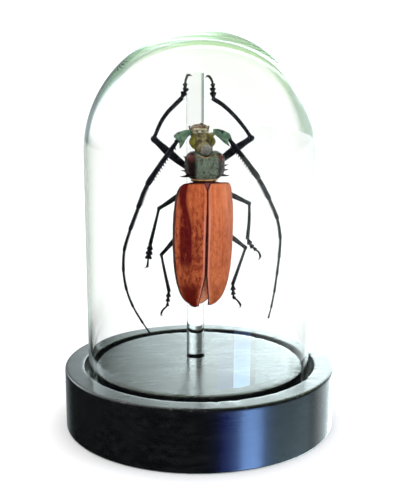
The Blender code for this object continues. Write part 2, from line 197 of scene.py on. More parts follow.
def hide(piece: bpy.types.Object, *rays: str) -> bpy.types.Object:
    """Hides an object from some kinds of ray.

    Args:
        piece: The object.
        rays: Kinds of ray that won't see it.

    Returns:
        The same object.
    """
    for ray in rays:
        setattr(piece, f"visible_{ray}", False)
    return piece


def ring_place(ball: Vector) -> Vector:
    """Where a point of the unit sphere lies round the upright axis."""
    ring = Vector((ball.x, ball.y, 0.0))
    return ring.normalized() if ring.length > 1e-6 else ring


def smooth_path(points: Sequence[Sequence[float]], parts: int) -> list[Vector]:
    """Draws a Catmull-Rom curve through points.

    Args:
        points: The points that the curve passes through.
        parts: How many pieces each span is cut into.

    Returns:
        The curve's points, ends included.
    """
    points = [Vector(point) for point in points]
    ends = [points[0] * 2 - points[1], *points, points[-1] * 2 - points[-2]]
    path = []
    for a, b, c, d in zip(ends, ends[1:], ends[2:], ends[3:]):
        for k in range(parts):
            t = k / parts
            bend = (2 * a - 5 * b + 4 * c - d) * t * t + (3 * b - a - 3 * c + d) * t**3
            path.append(0.5 * (2 * b + (c - a) * t + bend))
    return [*path, points[-1].copy()]


def shares_along(path: Sequence[Vector]) -> list[float]:
    """Share of the path's length at each of its points.

    Args:
        path: The path's points.

    Returns:
        One share for each point, from 0 to 1.
    """
    run = [0.0]
    for a, b in zip(path, path[1:]):
        run.append(run[-1] + (b - a).length)
    return [distance / run[-1] for distance in run]


def cut_path(path: Sequence[Vector], start: float, end: float, steps: int) -> list[Vector]:
    """Points at even steps between two shares of a path's length.

    Args:
        path: The path's points.
        start: Share of the length at which it starts.
        end: Share of the length at which it ends.
        steps: How many steps it is cut into.

    Returns:
        The points, ends included.
    """
    shares = shares_along(path)
    found = []
    for k in range(steps + 1):
        wanted = start + (end - start) * k / steps
        index = max(i for i, share in enumerate(shares[:-1]) if share <= wanted + 1e-9)
        span = shares[index + 1] - shares[index]
        found.append(path[index].lerp(path[index + 1], (wanted - shares[index]) / span))
    return found


@dataclass(frozen=True)
class Station:
    """One ring of a drawn tube: its centre and its half sizes, across and in depth."""

    where: Vector
    width: float
    depth: float


class Blank:
    """A mesh in the making, in millimetres, with the marks that its finish reads."""

    def __init__(self, frame: Matrix = BEETLE_FRAME) -> None:
        """Starts an empty blank.

        Args:
            frame: Turns the blank's millimetres into the model's metres.
        """
        self.work = bmesh.new()
        self.frame = frame
        self.along = self.work.verts.layers.float.new("along")
        self.across = self.work.verts.layers.float.new("across")

    def mark(self, verts: Sequence[BMVert], along: float, across: float = 0.0) -> None:
        """Writes the two marks on some points.

        Args:
            verts: The points to mark.
            along: First mark, mostly the share of the length.
            across: Second mark, mostly the share of the width.
        """
        for vert in verts:
            vert[self.along] = along
            vert[self.across] = across

    def sweep(self, rings: Sequence[Station], sides: int = 14) -> None:
        """Draws a closed tube with round ends, by extruding one ring from station to station.

        Args:
            rings: The stations, in order.
            sides: How many sides it has.
        """
        rings = self._round_ends(rings)
        places = []
        for index, ring in enumerate(rings):
            before, after = rings[max(index - 1, 0)], rings[min(index + 1, len(rings) - 1)]
            ahead = (after.where - before.where).normalized()
            side = TO_BELLY.cross(ahead).normalized()
            axes = Matrix((side * ring.width, ahead.cross(side) * ring.depth, ahead)).transposed()
            places.append(Matrix.Translation(ring.where) @ axes.to_4x4())
        made = bmesh.ops.create_circle(self.work, segments=sides, radius=1.0, matrix=places[0])
        ends = list(made["verts"])
        edges = edges_at(ends)
        bmesh.ops.edgeloop_fill(self.work, edges=edges)
        for index, (old, new) in enumerate(zip(places, places[1:]), 1):
            drawn = bmesh.ops.extrude_edge_only(self.work, edges=edges)["geom"]
            ends, edges = only(BMVert, drawn), only(BMEdge, drawn)
            bmesh.ops.transform(self.work, matrix=new @ old.inverted(), verts=ends)
            self.mark(ends, index / (len(places) - 1))
        bmesh.ops.edgeloop_fill(self.work, edges=edges)

    @staticmethod
    def _round_ends(rings: Sequence[Station]) -> list[Station]:
        """Adds three shrinking stations beyond each end.

        Args:
            rings: The stations, in order.

        Returns:
            The longer list of stations.
        """
        made = list(rings)
        for end, near in ((0, 1), (-1, -2)):
            last = rings[end]
            away = (last.where - rings[near].where).normalized() * min(last.width, last.depth)
            caps = []
            for angle in CAP_ANGLES:
                lean = math.radians(angle)
                shrink = math.cos(lean)
                caps.append(Station(last.where + away * math.sin(lean),
                                    last.width * shrink, last.depth * shrink))
            made = [*reversed(caps), *made] if end == 0 else [*made, *caps]
        return made

    def ball(self, centre: Sequence[float], radii: Sequence[float], segments: int,
             rings: int) -> list[BMVert]:
        """Adds an ellipsoid and returns its points.

        Args:
            centre: Its centre.
            radii: Its half sizes.
            segments: How many segments it has round its axis.
            rings: How many rings it has from pole to pole.

        Returns:
            Its points.
        """
        matrix = Matrix.Translation(centre) @ Matrix.Diagonal((*radii, 1.0))
        made = bmesh.ops.create_uvsphere(self.work, u_segments=segments, v_segments=rings,
                                         radius=1.0, matrix=matrix)
        return made["verts"]

    def lump(self, segments: int, rings: int,
             rule: Callable[[Vector], Vector]) -> list[BMVert]:
        """Adds a unit sphere, moves its points by a rule and returns them.

        Args:
            segments: How many segments it has round its axis.
            rings: How many rings it has from pole to pole.
            rule: Gives a point's new place from its place on the sphere.

        Returns:
            Its points.
        """
        verts = self.ball(ORIGIN, EVEN, segments, rings)
        for vert in verts:
            vert.co = rule(vert.co.copy())
        return verts

    def tube(self, path: Sequence[Vector], widths: Widths, sides: int = 14) -> None:
        """Draws a tube along a path, with half sizes from the share of its length."""
        self.sweep([Station(p, *widths(s)) for p, s in zip(path, shares_along(path))], sides)

    def spike(self, root: Vector, tip: Vector, thickness: float, sides: int) -> None:
        """Adds a pointed cone.

        Args:
            root: Middle of its foot.
            tip: Its point.
            thickness: Radius at its foot.
            sides: How many sides it has.
        """
        aim = (tip - root).to_track_quat("Z", "Y").to_matrix().to_4x4()
        bmesh.ops.create_cone(self.work, cap_ends=True, segments=sides, radius1=thickness,
                              radius2=thickness * SPIKE_TIP, depth=(tip - root).length,
                              matrix=Matrix.Translation((root + tip) / 2) @ aim)

    def thorn(self, root: Vector, bend: Vector, tip: Vector, thickness: float) -> None:
        """Adds a curved spine that thins towards its tip."""
        self.tube(smooth_path([root, bend, tip], 5), lambda s: (thickness * (1.05 - s),) * 2, 8)

    def roughen(self, height: float, size: float, seed: float = 0.0) -> None:
        """Moves every point along its normal by smooth noise.

        Args:
            height: Greatest move.
            size: Size of the bumps.
            seed: Shifts the pattern.
        """
        self.work.normal_update()
        shift = Vector((seed, seed * 1.7, seed * 2.3))
        moves = [noise.noise(vert.co / size + shift) * height for vert in self.work.verts]
        for vert, move in zip(self.work.verts, moves):
            vert.co += vert.normal * move

    def finish(self, name: str, material: bpy.types.Material, slot: Slot, *nodes: str,
               merge: float = MERGE, recalculate: bool = True) -> bpy.types.Object:
        """Turns the blank into a piece of the model.

        Args:
            name: Its name.
            material: Its finish.
            slot: The record's slot for its finish; not used.
            nodes: The CAD nodes that it stands for.
            merge: Points closer than this become one.
            recalculate: Whether the faces are turned outwards.

        Returns:
            The finished object.
        """
        bmesh.ops.remove_doubles(self.work, verts=self.work.verts, dist=merge)
        if recalculate:
            bmesh.ops.recalc_face_normals(self.work, faces=self.work.faces)
        bmesh.ops.transform(self.work, matrix=self.frame, verts=self.work.verts)
        mesh = mesh_of(self.work, name, material)
        mesh.shade_smooth()
        mesh.set_sharp_from_angle(angle=SHARP_ANGLE)
        piece = put_in_scene(name, mesh)
        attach(piece, BODY)
        if nodes:
            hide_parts(*nodes)
        LOG.info("%s: %d faces", name, len(mesh.polygons))
        return piece


class Graph:
    """A node tree in the making."""

    def __init__(self, tree: bpy.types.NodeTree) -> None:
        """Takes up a tree."""
        self.tree = tree

    def node(self, kind: str, **settings: object) -> bpy.types.Node:
        """Adds a shader node with its settings.

        Args:
            kind: The node's kind.
            settings: The node's own settings.

        Returns:
            The new node.
        """
        made = self.tree.nodes.new(f"ShaderNode{kind}")
        for key, value in settings.items():
            setattr(made, key, value)
        return made

    def feed(self, socket: Socket, value: object) -> None:
        """Links a socket to another, or sets it to a value.

        Args:
            socket: The socket.
            value: A socket, a number or a colour.
        """
        if isinstance(value, Socket):
            self.tree.links.new(value, socket)
        elif isinstance(value, tuple) and len(socket.default_value) == 4:
            socket.default_value = (*value, 1.0)
        else:
            socket.default_value = value

    def call(self, kind: str, result: str | int, inputs: dict[str | int, object],
             **settings: object) -> Socket:
        """Adds a node, feeds its inputs and returns one of its outputs.

        Args:
            kind: The node's kind.
            result: Which output is wanted.
            inputs: A value or a socket for each input.
            settings: The node's own settings.

        Returns:
            The output that is wanted.
        """
        made = self.node(kind, **settings)
        for key, value in inputs.items():
            self.feed(made.inputs[key], value)
        return made.outputs[result]

    def span(self, source: Socket, start: float, end: float, low: float = 0.0,
             high: float = 1.0) -> Socket:
        """Turns the span from start to end into a smooth change from low to high.

        Args:
            source: The changing value.
            start: Value at which the change starts.
            end: Value at which the change ends.
            low: Value before the span.
            high: Value after the span.

        Returns:
            The changed value.
        """
        names = ("Value", "From Min", "From Max", "To Min", "To Max")
        return self.call("MapRange", "Result", dict(zip(names, (source, start, end, low, high))),
                         interpolation_type="SMOOTHSTEP")

    def maths(self, operation: str, first: object, *others: object) -> Socket:
        """The result of a sum on two or more values, taken in order.

        Args:
            operation: The kind of sum.
            first: The first value.
            others: The values that follow.

        Returns:
            The result.
        """
        for other in others:
            first = self.call("Math", "Value", {0: first, 1: other}, operation=operation)
        return first

    def times(self, *values: object) -> Socket:
        """The product of some values."""
        return self.maths("MULTIPLY", *values)

    def most(self, *values: object) -> Socket:
        """The greatest of some values."""
        return self.maths("MAXIMUM", *values)

    def blend(self, share: object, first: object, second: object) -> Socket:
        """Mixes two colours by a share, which counts as 1 above 1."""
        return self.call("Mix", 2, {0: share, 6: first, 7: second}, data_type="RGBA")


class Recipe(Graph):
    """The node tree of one finish."""

    def __init__(self, name: str) -> None:
        """Starts a finish from a plain shader.

        Args:
            name: The finish's name.
        """
        self.material = bpy.data.materials.new(name)
        self.material.use_nodes = True
        super().__init__(self.material.node_tree)
        self.shader = self.tree.nodes["Principled BSDF"]
        self.object_place = self.node("TexCoord").outputs["Object"]

    def set(self, **values: object) -> None:
        """Sets the shader's sockets, whose names are written with underscores."""
        for key, value in values.items():
            self.feed(self.shader.inputs[key.replace("_", " ")], value)

    def result(self, name: str, value: Socket) -> None:
        """Links a socket to the finish's output."""
        self.feed(self.tree.nodes["Material Output"].inputs[name], value)

    def mottle(self, scale: float, stretch: Triple = EVEN, detail: float = 4.0,
               rough: float = 0.55) -> Socket:
        """A cloudy pattern from 0 to 1.

        Args:
            scale: Clouds to the metre.
            stretch: Scale on each axis, so that a small one draws the clouds out.
            detail: How many finer layers the clouds have.
            rough: How strong the finer layers are.

        Returns:
            The pattern's socket.
        """
        place = self.call("Mapping", "Vector", {"Vector": self.object_place, "Scale": stretch})
        return self.call("TexNoise", "Fac", {"Vector": place, "Scale": scale, "Detail": detail,
                                             "Roughness": rough})

    def pits(self, scale: float) -> Socket:
        """Distance to the nearest of many scattered pits."""
        return self.call("TexVoronoi", "Distance", {"Vector": self.object_place, "Scale": scale})

    def mark(self, name: str) -> Socket:
        """A mark that the piece carries, such as the share of its length."""
        return self.node("Attribute", attribute_name=name).outputs["Fac"]

    def band(self, source: Socket, start: float, end: float, soft: float) -> Socket:
        """1 between two values and 0 outside them, with soft edges."""
        return self.times(self.span(source, start - soft, start + soft),
                          self.span(source, end - soft, end + soft, 1.0, 0.0))

    def bump(self, *layers: tuple[Socket, float, float]) -> None:
        """Roughens the surface's normal.

        Args:
            layers: Each layer's height pattern, its depth in metres and its strength.
        """
        below = {}
        for height, distance, strength in layers:
            below = {"Normal": self.call("Bump", "Normal", {
                "Height": height, "Distance": distance, "Strength": strength, **below})}
        self.set(**below)


@dataclass(frozen=True)
class PaintedWood:
    """Black satin paint over straight grain, a little worn on its edges."""

    paint: Colour = shade(9, 10, 12)
    thin_paint: Colour = shade(21, 24, 25)
    bare: Colour = shade(70, 72, 68)
    grain: Triple = (0.05, 1.0, 1.0)
    gloss: Pair = (0.24, 0.36)
    worn_rise: Pair = (0.54, 0.72)
    fibre_gloss: Pair = (-0.05, 0.06)

    def make(self) -> bpy.types.Material:
        """Writes the finish.

        Returns:
            The finish's material.
        """
        recipe = Recipe("painted_wood")
        fibres = recipe.mottle(1900.0, self.grain, 6.0, 0.65)
        bands = recipe.mottle(420.0, (0.10, 1.0, 1.0), 4.0)
        clouds = recipe.mottle(60.0, (0.5, 1.0, 1.0), 4.0, 0.65)
        colour = recipe.blend(recipe.span(bands, 0.35, 0.75), self.paint, self.thin_paint)
        worn = recipe.times(recipe.mark("along"),
                            recipe.span(recipe.mottle(420.0), *self.worn_rise))
        recipe.set(
            Base_Color=recipe.blend(worn, colour, self.bare),
            Roughness=recipe.maths("ADD", recipe.span(clouds, 0.3, 0.7, *self.gloss),
                                   recipe.span(fibres, 0.3, 0.7, *self.fibre_gloss)),
            Specular_IOR_Level=0.5, Coat_Weight=0.8, Coat_Roughness=0.22)
        recipe.bump((fibres, 0.0001, 0.4), (bands, 0.0003, 0.16),
                    (recipe.mottle(3200.0), 0.00003, 0.2))
        return recipe.material


@dataclass(frozen=True)
class ClearStuff:
    """Glass or acrylic, tinted only by the thickness that light crosses."""

    name: str
    tint: Colour
    density: float
    bend: float = 1.5
    wave: float = 14.0
    wave_strength: float = 0.02

    def make(self) -> bpy.types.Material:
        """Writes the finish.

        Returns:
            The finish's material.
        """
        recipe = Recipe(self.name)
        recipe.set(Base_Color=EVEN, Transmission_Weight=1.0, IOR=self.bend, Roughness=0.0)
        recipe.result("Volume", recipe.call("VolumeAbsorption", "Volume",
                                            {"Color": self.tint, "Density": self.density}))
        recipe.bump((recipe.mottle(self.wave, detail=1.0), 0.001, self.wave_strength))
        return recipe.material


@dataclass(frozen=True)
class WingShell:
    """A wing case's shell: orange-brown, with a mottled maroon band and dark edges."""

    name: str
    ground: Colour
    light: Colour
    band_strength: float
    band_inner: float = 0.46
    band_outer: float = 0.86
    maroon: Colour = shade(84, 0, 0)
    fleck: Colour = shade(104, 20, 10)
    fleck_share: float = 1.0
    shoulder_in: Ramp = (0.08, 0.40, 0.25, 0.0)
    shoulder_out: Ramp = (0.04, 0.26, 0.13, 0.0)
    band_fade: Ramp = (0.60, 0.70, 1.0, 0.35)
    blotches: Ramp = (0.30, 0.46, 0.35, 1.0)
    fleck_rise: Ramp = (0.1, 0.4, 0.35, 0.75)
    seam_highlight_rise: Ramp = (0.08, 0.35, 0.25, 0.85)
    seam_line: Ramp = (0.15, 0.45, 0.0, 0.024)
    matt: Ramp = (0.3, 0.7, 0.44, 0.60)
    middle_share: float = 0.5
    tail_share: float = 0.95
    edge_share: float = 0.92
    edge: Colour = shade(46, 2, 6)
    # Painted highlight: the pink colour of a soft band of light just beside the seam.
    seam: Colour = shade(205, 128, 110)

    def make(self) -> bpy.types.Material:
        """Writes the finish.

        Returns:
            The finish's material.
        """
        recipe = Recipe(self.name)
        along, across = recipe.mark("along"), recipe.mark("across")
        streaks = recipe.mottle(900.0, (1.0, 1.0, 0.07), 5.0)
        clouds = recipe.mottle(260.0, (1.0, 1.0, 0.45), 5.0, 0.65)
        colour = recipe.blend(recipe.span(streaks, 0.25, 0.75), self.ground, self.light)
        inner = recipe.maths("SUBTRACT", across, recipe.span(along, *self.shoulder_in))
        outer = recipe.maths("SUBTRACT", across, recipe.span(along, *self.shoulder_out))
        patch = recipe.times(
            recipe.span(inner, self.band_inner - 0.05, self.band_inner + 0.06),
            recipe.span(outer, self.band_outer - 0.05, self.band_outer + 0.04, 1.0, 0.0),
            recipe.span(along, *self.band_fade))
        middle = recipe.times(recipe.band(along, 0.30, 0.66, 0.12),
                              recipe.band(across, 0.20, 0.6, 0.12))
        tail = recipe.times(recipe.span(along, 0.74, 0.86),
                            recipe.band(across, 0.20, 0.92, 0.12))
        dark = recipe.most(patch, recipe.times(tail, self.tail_share),
                           recipe.times(middle, self.middle_share))
        dark = recipe.times(dark, recipe.span(clouds, *self.blotches), self.band_strength)
        colour = recipe.blend(dark, colour, self.maroon)
        specks = recipe.times(
            recipe.span(recipe.mottle(750.0, (1.0, 1.0, 0.6), 3.0, 0.7), 0.47, 0.57),
            recipe.span(along, *self.fleck_rise), self.fleck_share)
        colour = recipe.blend(specks, colour, self.fleck)
        # Painted highlight: a pink band of light beside the seam, stronger past the front.
        seam = recipe.times(recipe.band(across, 0.045, 0.10, 0.02),
                            recipe.span(along, *self.seam_highlight_rise))
        colour = recipe.blend(seam, colour, self.seam)
        line = recipe.maths("SUBTRACT", across, recipe.span(along, *self.seam_line))
        rim = recipe.most(recipe.span(across, 0.960, 0.985),
                          recipe.span(line, 0.008, 0.022, 1.0, 0.0),
                          recipe.most(recipe.span(along, 0.004, 0.016, 1.0, 0.0),
                                      recipe.span(along, 0.985, 0.998)))
        colour = recipe.blend(recipe.times(rim, self.edge_share), colour, self.edge)
        recipe.set(Base_Color=colour, Roughness=recipe.span(clouds, *self.matt),
                   Specular_IOR_Level=0.12)
        recipe.bump((streaks, 0.0003, 0.35), (recipe.pits(2600.0), 0.00012, 0.45))
        return recipe.material


@dataclass(frozen=True)
class Shell:
    """Hard beetle skin with pits, and patches of down."""

    name: str
    deep: Colour
    light: Colour
    down: Colour
    down_share: float = 0.0
    gloss: Pair = (0.26, 0.42)
    pit_scale: float = 2200.0
    pit_strength: float = 0.5
    sheen: float = 0.0
    sheen_tint: Colour = EVEN
    gleam: Colour = EVEN
    down_span: Pair = (0.42, 0.62)
    down_middle: Pair | None = None
    knob: Colour | None = None
    knob_rise: Pair = (0.20, 1.0)
    knob_blotches: Ramp = (0.30, 0.46, 0.25, 1.0)
    hair_rise: Ramp = (0.3, 0.6, 0.3, 1.0)

    def make(self) -> bpy.types.Material:
        """Writes the finish.

        Returns:
            The finish's material.
        """
        recipe = Recipe(self.name)
        clouds = recipe.mottle(380.0, detail=5.0)
        hairs = recipe.mottle(2400.0, (1.0, 1.0, 0.3), 3.0)
        colour = recipe.blend(recipe.span(clouds, 0.32, 0.68), self.deep, self.light)
        down = recipe.times(recipe.span(recipe.mottle(520.0), *self.down_span),
                            recipe.span(hairs, *self.hair_rise))
        if self.down_middle:
            middle = recipe.span(recipe.mark("across"), *self.down_middle, 1.0, 0.0)
            down = recipe.times(down, middle)
        colour = recipe.blend(recipe.times(down, self.down_share), colour, self.down)
        # Red-brown spots on the front lobes: partly their own colour, partly a painted highlight on
        # the bumps.
        if self.knob:
            knobs = recipe.times(recipe.span(recipe.mark("along"), *self.knob_rise),
                                 recipe.span(clouds, *self.knob_blotches))
            colour = recipe.blend(knobs, colour, self.knob)
        recipe.set(Base_Color=colour, Roughness=recipe.span(clouds, 0.3, 0.7, *self.gloss),
                   Sheen_Weight=self.sheen, Sheen_Roughness=0.4, Sheen_Tint=self.sheen_tint,
                   Specular_Tint=self.gleam, Coat_Weight=0.12, Coat_Roughness=0.25)
        recipe.bump((recipe.pits(self.pit_scale), 0.00015, self.pit_strength),
                    (hairs, 0.0001, 0.2))
        return recipe.material


@dataclass(frozen=True)
class FloorPaper:
    """Matt white paper with a faint tooth. Mirrors see the floor in front of the object dark."""

    tint: Colour = (0.935, 0.935, 0.935)
    tooth: float = 0.985
    dark_back: Pair = (0.10, 0.20)
    dark_right: Pair = (0.07, 0.17)

    def make(self) -> bpy.types.Material:
        """Writes the finish.

        Returns:
            The finish's material.
        """
        recipe = Recipe("floor_paper")
        tooth = recipe.mottle(900.0)
        darker = tuple(part * self.tooth for part in self.tint)
        recipe.set(Base_Color=recipe.blend(recipe.span(tooth, 0.3, 0.7), darker, self.tint),
                   Roughness=0.9, Specular_IOR_Level=0.1)
        recipe.bump((tooth, 0.0001, 0.1))
        place = recipe.call("SeparateXYZ", "X", {"Vector": recipe.object_place}).node.outputs
        front = recipe.times(recipe.span(place["Y"], *self.dark_back, 1.0, 0.0),
                             recipe.span(place["X"], *self.dark_right, 1.0, 0.0))
        mirrored = recipe.maths("MINIMUM", recipe.node("LightPath").outputs["Glossy Depth"], 1.0)
        dark = recipe.call("Emission", "Emission", {"Strength": 0.0})
        recipe.result("Surface", recipe.call("MixShader", "Shader", {
            0: recipe.times(mirrored, front), 1: recipe.shader.outputs["BSDF"], 2: dark}))
        return recipe.material


@dataclass
class TurnedBase:
    """The black disc, with a round groove for the dome and a socket for the rod."""

    groove_inner: float = 46.0
    groove_outer: float = 51.5
    groove_depth: float = 7.0
    groove_edge: float = 0.35
    edge: float = 1.0
    socket_radius: float = 4.3
    socket_depth: float = 10.3
    steps: int = 240
    rim_chips: float = 0.22
    chip_reach: float = 0.6
    chip_grain: float = 0.35
    chip_threshold: float = 0.18
    foot_ring: float = 8.0
    plateau_ring: float = 3.0
    worn_widths: Pair = (0.5, 0.9)
    finish: PaintedWood = field(default_factory=PaintedWood)

    def build(self) -> bpy.types.Object:
        """Turns the base, bores its socket and dresses it.

        Returns:
            The finished piece.
        """
        low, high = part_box("base")
        radius, top, foot = high.x / MM, high.z / MM, low.z / MM
        rod_y = sum(corner.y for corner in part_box("post")) / 2 / MM
        blank = Blank(MILLIMETRES)
        work = blank.work
        floor = top - self.groove_depth
        profile = [(self.groove_inner - self.plateau_ring, top), (self.groove_inner, top),
                   (self.groove_inner, floor), (self.groove_outer, floor),
                   (self.groove_outer, top), (radius, top), (radius, foot),
                   (radius - self.foot_ring, foot), (0.0, foot)]
        turn_profile(work, hold_corners(profile, self.edge * 1.6), self.steps)
        rims = [(self.groove_inner, top), (self.groove_outer, top)]
        outer = [(radius, top), (radius, foot)]
        bevel_rings(work, rims, self.groove_edge, 3)
        bevel_rings(work, outer, self.edge, 5)
        self._bore_socket(work, top, rod_y)
        for vert in work.verts:
            reach = vert.co.xy.length
            fine, broad = self.worn_widths
            near_rim = max(hump(reach, self.groove_inner, fine),
                           hump(reach, self.groove_outer, fine), hump(reach, radius, broad))
            vert[blank.along] = near_rim if vert.co.z > top - self.edge else 0.0
        self._chip_rims(blank, top)
        return blank.finish("turned_base", self.finish.make(), Slot.WOOD, "base")

    def _bore_socket(self, work: bmesh.types.BMesh, top: float, rod_y: float) -> None:
        """Closes the plateau down to the rod's socket, which is bored into it.

        Args:
            work: The mesh in the making.
            top: Height of the top.
            rod_y: How far back the rod stands.
        """
        open_edges = [edge for edge in work.edges if edge.is_boundary]
        place = Matrix.Translation((0.0, rod_y, top))
        ring = bmesh.ops.create_circle(work, segments=self.steps, radius=self.socket_radius,
                                       matrix=place)["verts"]
        ring_edges = edges_at(ring)
        bmesh.ops.bridge_loops(work, edges=[*open_edges, *ring_edges])
        drawn = bmesh.ops.extrude_edge_only(work, edges=ring_edges)["geom"]
        bmesh.ops.translate(work, vec=(0.0, 0.0, -self.socket_depth), verts=only(BMVert, drawn))
        bmesh.ops.edgeloop_fill(work, edges=only(BMEdge, drawn))

    def _chip_rims(self, blank: Blank, top: float) -> None:
        """Knocks small chips out of the groove's two rims.

        Args:
            blank: The blank to work on.
            top: Height of the top.
        """
        for vert in blank.work.verts:
            reach = vert.co.xy.length
            side = 1.0 if reach > (self.groove_inner + self.groove_outer) / 2 else -1.0
            rim = self.groove_outer if side > 0 else self.groove_inner
            if abs(reach - rim) > self.chip_reach or vert.co.z < top - self.chip_reach:
                continue
            chip = max(0.0, noise.noise(vert.co * self.chip_grain) - self.chip_threshold)
            vert.co.z -= chip * self.rim_chips * 2.0
            vert.co.xy *= 1.0 + side * chip * self.rim_chips / reach


def hold_corners(profile: Sequence[Pair], margin: float) -> list[Pair]:
    """Adds a ring near each corner of a profile, so that the faces between stay flat.

    Args:
        profile: The corners, as radius and height.
        margin: Distance of the new rings from their corner.

    Returns:
        The longer profile.
    """
    held = [profile[0]]
    for (r0, z0), (r1, z1) in zip(profile, profile[1:]):
        run = math.hypot(r1 - r0, z1 - z0)
        if run > margin * 3.0:
            for near in (margin / run, 1.0 - margin / run):
                held.append((r0 + (r1 - r0) * near, z0 + (z1 - z0) * near))
        held.append((r1, z1))
    return held


def turn_profile(work: bmesh.types.BMesh, profile: Sequence[Pair], steps: int) -> None:
    """Turns a profile of radius and height about the upright axis.

    Args:
        work: The mesh in the making.
        profile: The points, as radius and height.
        steps: How many steps it has.
    """
    points = [work.verts.new((r, 0.0, z)) for r, z in profile]
    edges = [work.edges.new(pair) for pair in zip(points, points[1:])]
    bmesh.ops.spin(work, geom=[*points, *edges], cent=ORIGIN, axis=UPWARD, dvec=ORIGIN,
                   angle=math.tau, steps=steps, use_merge=True)
    bmesh.ops.remove_doubles(work, verts=work.verts, dist=MERGE)
    bmesh.ops.recalc_face_normals(work, faces=work.faces)


def bevel_rings(work: bmesh.types.BMesh, rings: Sequence[Pair], size: float,
                segments: int) -> None:
    """Rounds the turned edges that run round at given radii and heights.

    Args:
        work: The mesh in the making.
        rings: Radius and height of each edge.
        size: Width of the rounding.
        segments: How many steps the rounding has.
    """
    found = []
    for edge in work.edges:
        for radius, height in rings:
            if all(abs(v.co.xy.length - radius) < NEAR and abs(v.co.z - height) < NEAR
                   for v in edge.verts):
                found.append(edge)
    bmesh.ops.bevel(work, geom=found, offset=size, offset_type="OFFSET", affect="EDGES",
                    segments=segments, profile=0.5, material=-1)


@dataclass
class BlownDome:
    """The glass dome: a wall that widens a little to a round crown, where it is thickest."""

    wall: float = 1.6
    crown_growth: float = 3.2
    growth_power: float = 2.0
    crown_rise: float = 1.0
    rise_power: float = 2.0
    arc_steps: int = 36
    wall_steps: int = 6
    steps: int = 192
    foot_round: float = 0.7
    foot_radius: float = 49.1
    foot_shift: float = -0.4
    lean: float = 1.9
    finish: ClearStuff = ClearStuff("blown_glass", (0.74, 0.93, 0.71), 30.0)

    def build(self) -> bpy.types.Object:
        """Turns the dome and dresses it.

        Returns:
            The finished piece.
        """
        low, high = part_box("dome")
        radius, foot, top = high.x / MM, low.z / MM, high.z / MM
        blank = Blank(MILLIMETRES)
        outside, inside = self._arc(radius, top, 0.0), self._arc(radius, top, 1.0)
        reach, height = self.foot_radius, outside[-1][1] - foot
        shares = [k / self.wall_steps for k in range(self.wall_steps - 1, 0, -1)] + [0.02]
        wall = [(reach + (radius - reach) * share, foot + height * share) for share in shares]
        wall.append((reach, foot))
        profile = [*outside, *wall, *((r - self.wall, z) for r, z in reversed(wall)),
                   *reversed(inside)]
        turn_profile(blank.work, profile, self.steps)
        bevel_rings(blank.work, [(reach, foot), (reach - self.wall, foot)], self.foot_round, 4)
        for vert in blank.work.verts:
            vert.co.x += self.foot_shift + self.lean * (vert.co.z - foot) / (top - foot)
        dome = blank.finish("blown_dome", self.finish.make(), Slot.GLASS, "dome")
        return hide(dome, *CLEAR_TO)

    def _arc(self, radius: float, top: float, share: float) -> list[Pair]:
        """Quarter arc from the crown to the wall, set in by a share of the wall.

        Args:
            radius: Radius at the wall.
            top: Height of the top.
            share: Share of the wall, from 0 outside to 1 inside.

        Returns:
            The points, as radius and height, from the crown to the wall.
        """
        middle = top - radius - self.crown_rise
        points = []
        for k in range(self.arc_steps + 1):
            lean = math.pi / 2 * (1.0 - k / self.arc_steps)
            growth = self.crown_growth * math.sin(lean) ** self.growth_power
            reach = radius - share * (self.wall + growth)
            rise = self.crown_rise * math.sin(lean) ** self.rise_power
            points.append((reach * math.cos(lean), middle + reach * math.sin(lean) + rise))
        points[0] = (0.0, points[0][1])
        return points


@dataclass
class ClearRod:
    """The clear rod behind the beetle, and the dab of glue that holds the belly to it."""

    sides: int = 72
    edge: float = 0.45
    end_ring: float = 1.0
    finish: ClearStuff = ClearStuff("clear_rod", (0.86, 0.90, 0.86), 20.0, 1.49, 60.0, 0.03)
    glue: ClearStuff = ClearStuff("clear_glue", (0.95, 0.88, 0.70), 60.0, 1.48, 300.0, 0.2)

    def build(self) -> None:
        """Makes the rod and the glue."""
        low, high = node_box("post")
        centre = (low + high) / 2
        blank = Blank(MILLIMETRES)
        bmesh.ops.create_cone(blank.work, cap_ends=True, segments=self.sides,
                              radius1=high.x, radius2=high.x, depth=high.z - low.z,
                              matrix=Matrix.Translation(centre))
        bevel_ends = [edge for edge in blank.work.edges
                      if abs(edge.verts[0].co.z - edge.verts[1].co.z) < NEAR]
        bmesh.ops.bevel(blank.work, geom=bevel_ends, offset=self.edge, affect="EDGES",
                        segments=4, profile=0.5, material=-1)
        for height in (high.z - self.end_ring, low.z + self.end_ring):
            work = blank.work
            bmesh.ops.bisect_plane(work, geom=[*work.verts, *work.edges, *work.faces],
                                   plane_co=UPWARD * height, plane_no=UPWARD)
        hide(blank.finish("clear_rod", self.finish.make(), Slot.ACRYLIC, "post"), *CLEAR_TO)
        low, high = node_box("adhesive_dab")
        blank = Blank(MILLIMETRES)
        blank.ball((low + high) / 2, (high - low) / 2, 36, 24)
        blank.roughen(0.12, 1.6)
        dab = blank.finish("glue_dab", self.glue.make(), Slot.ACRYLIC, "adhesive_dab")
        hide(dab, *CLEAR_TO)


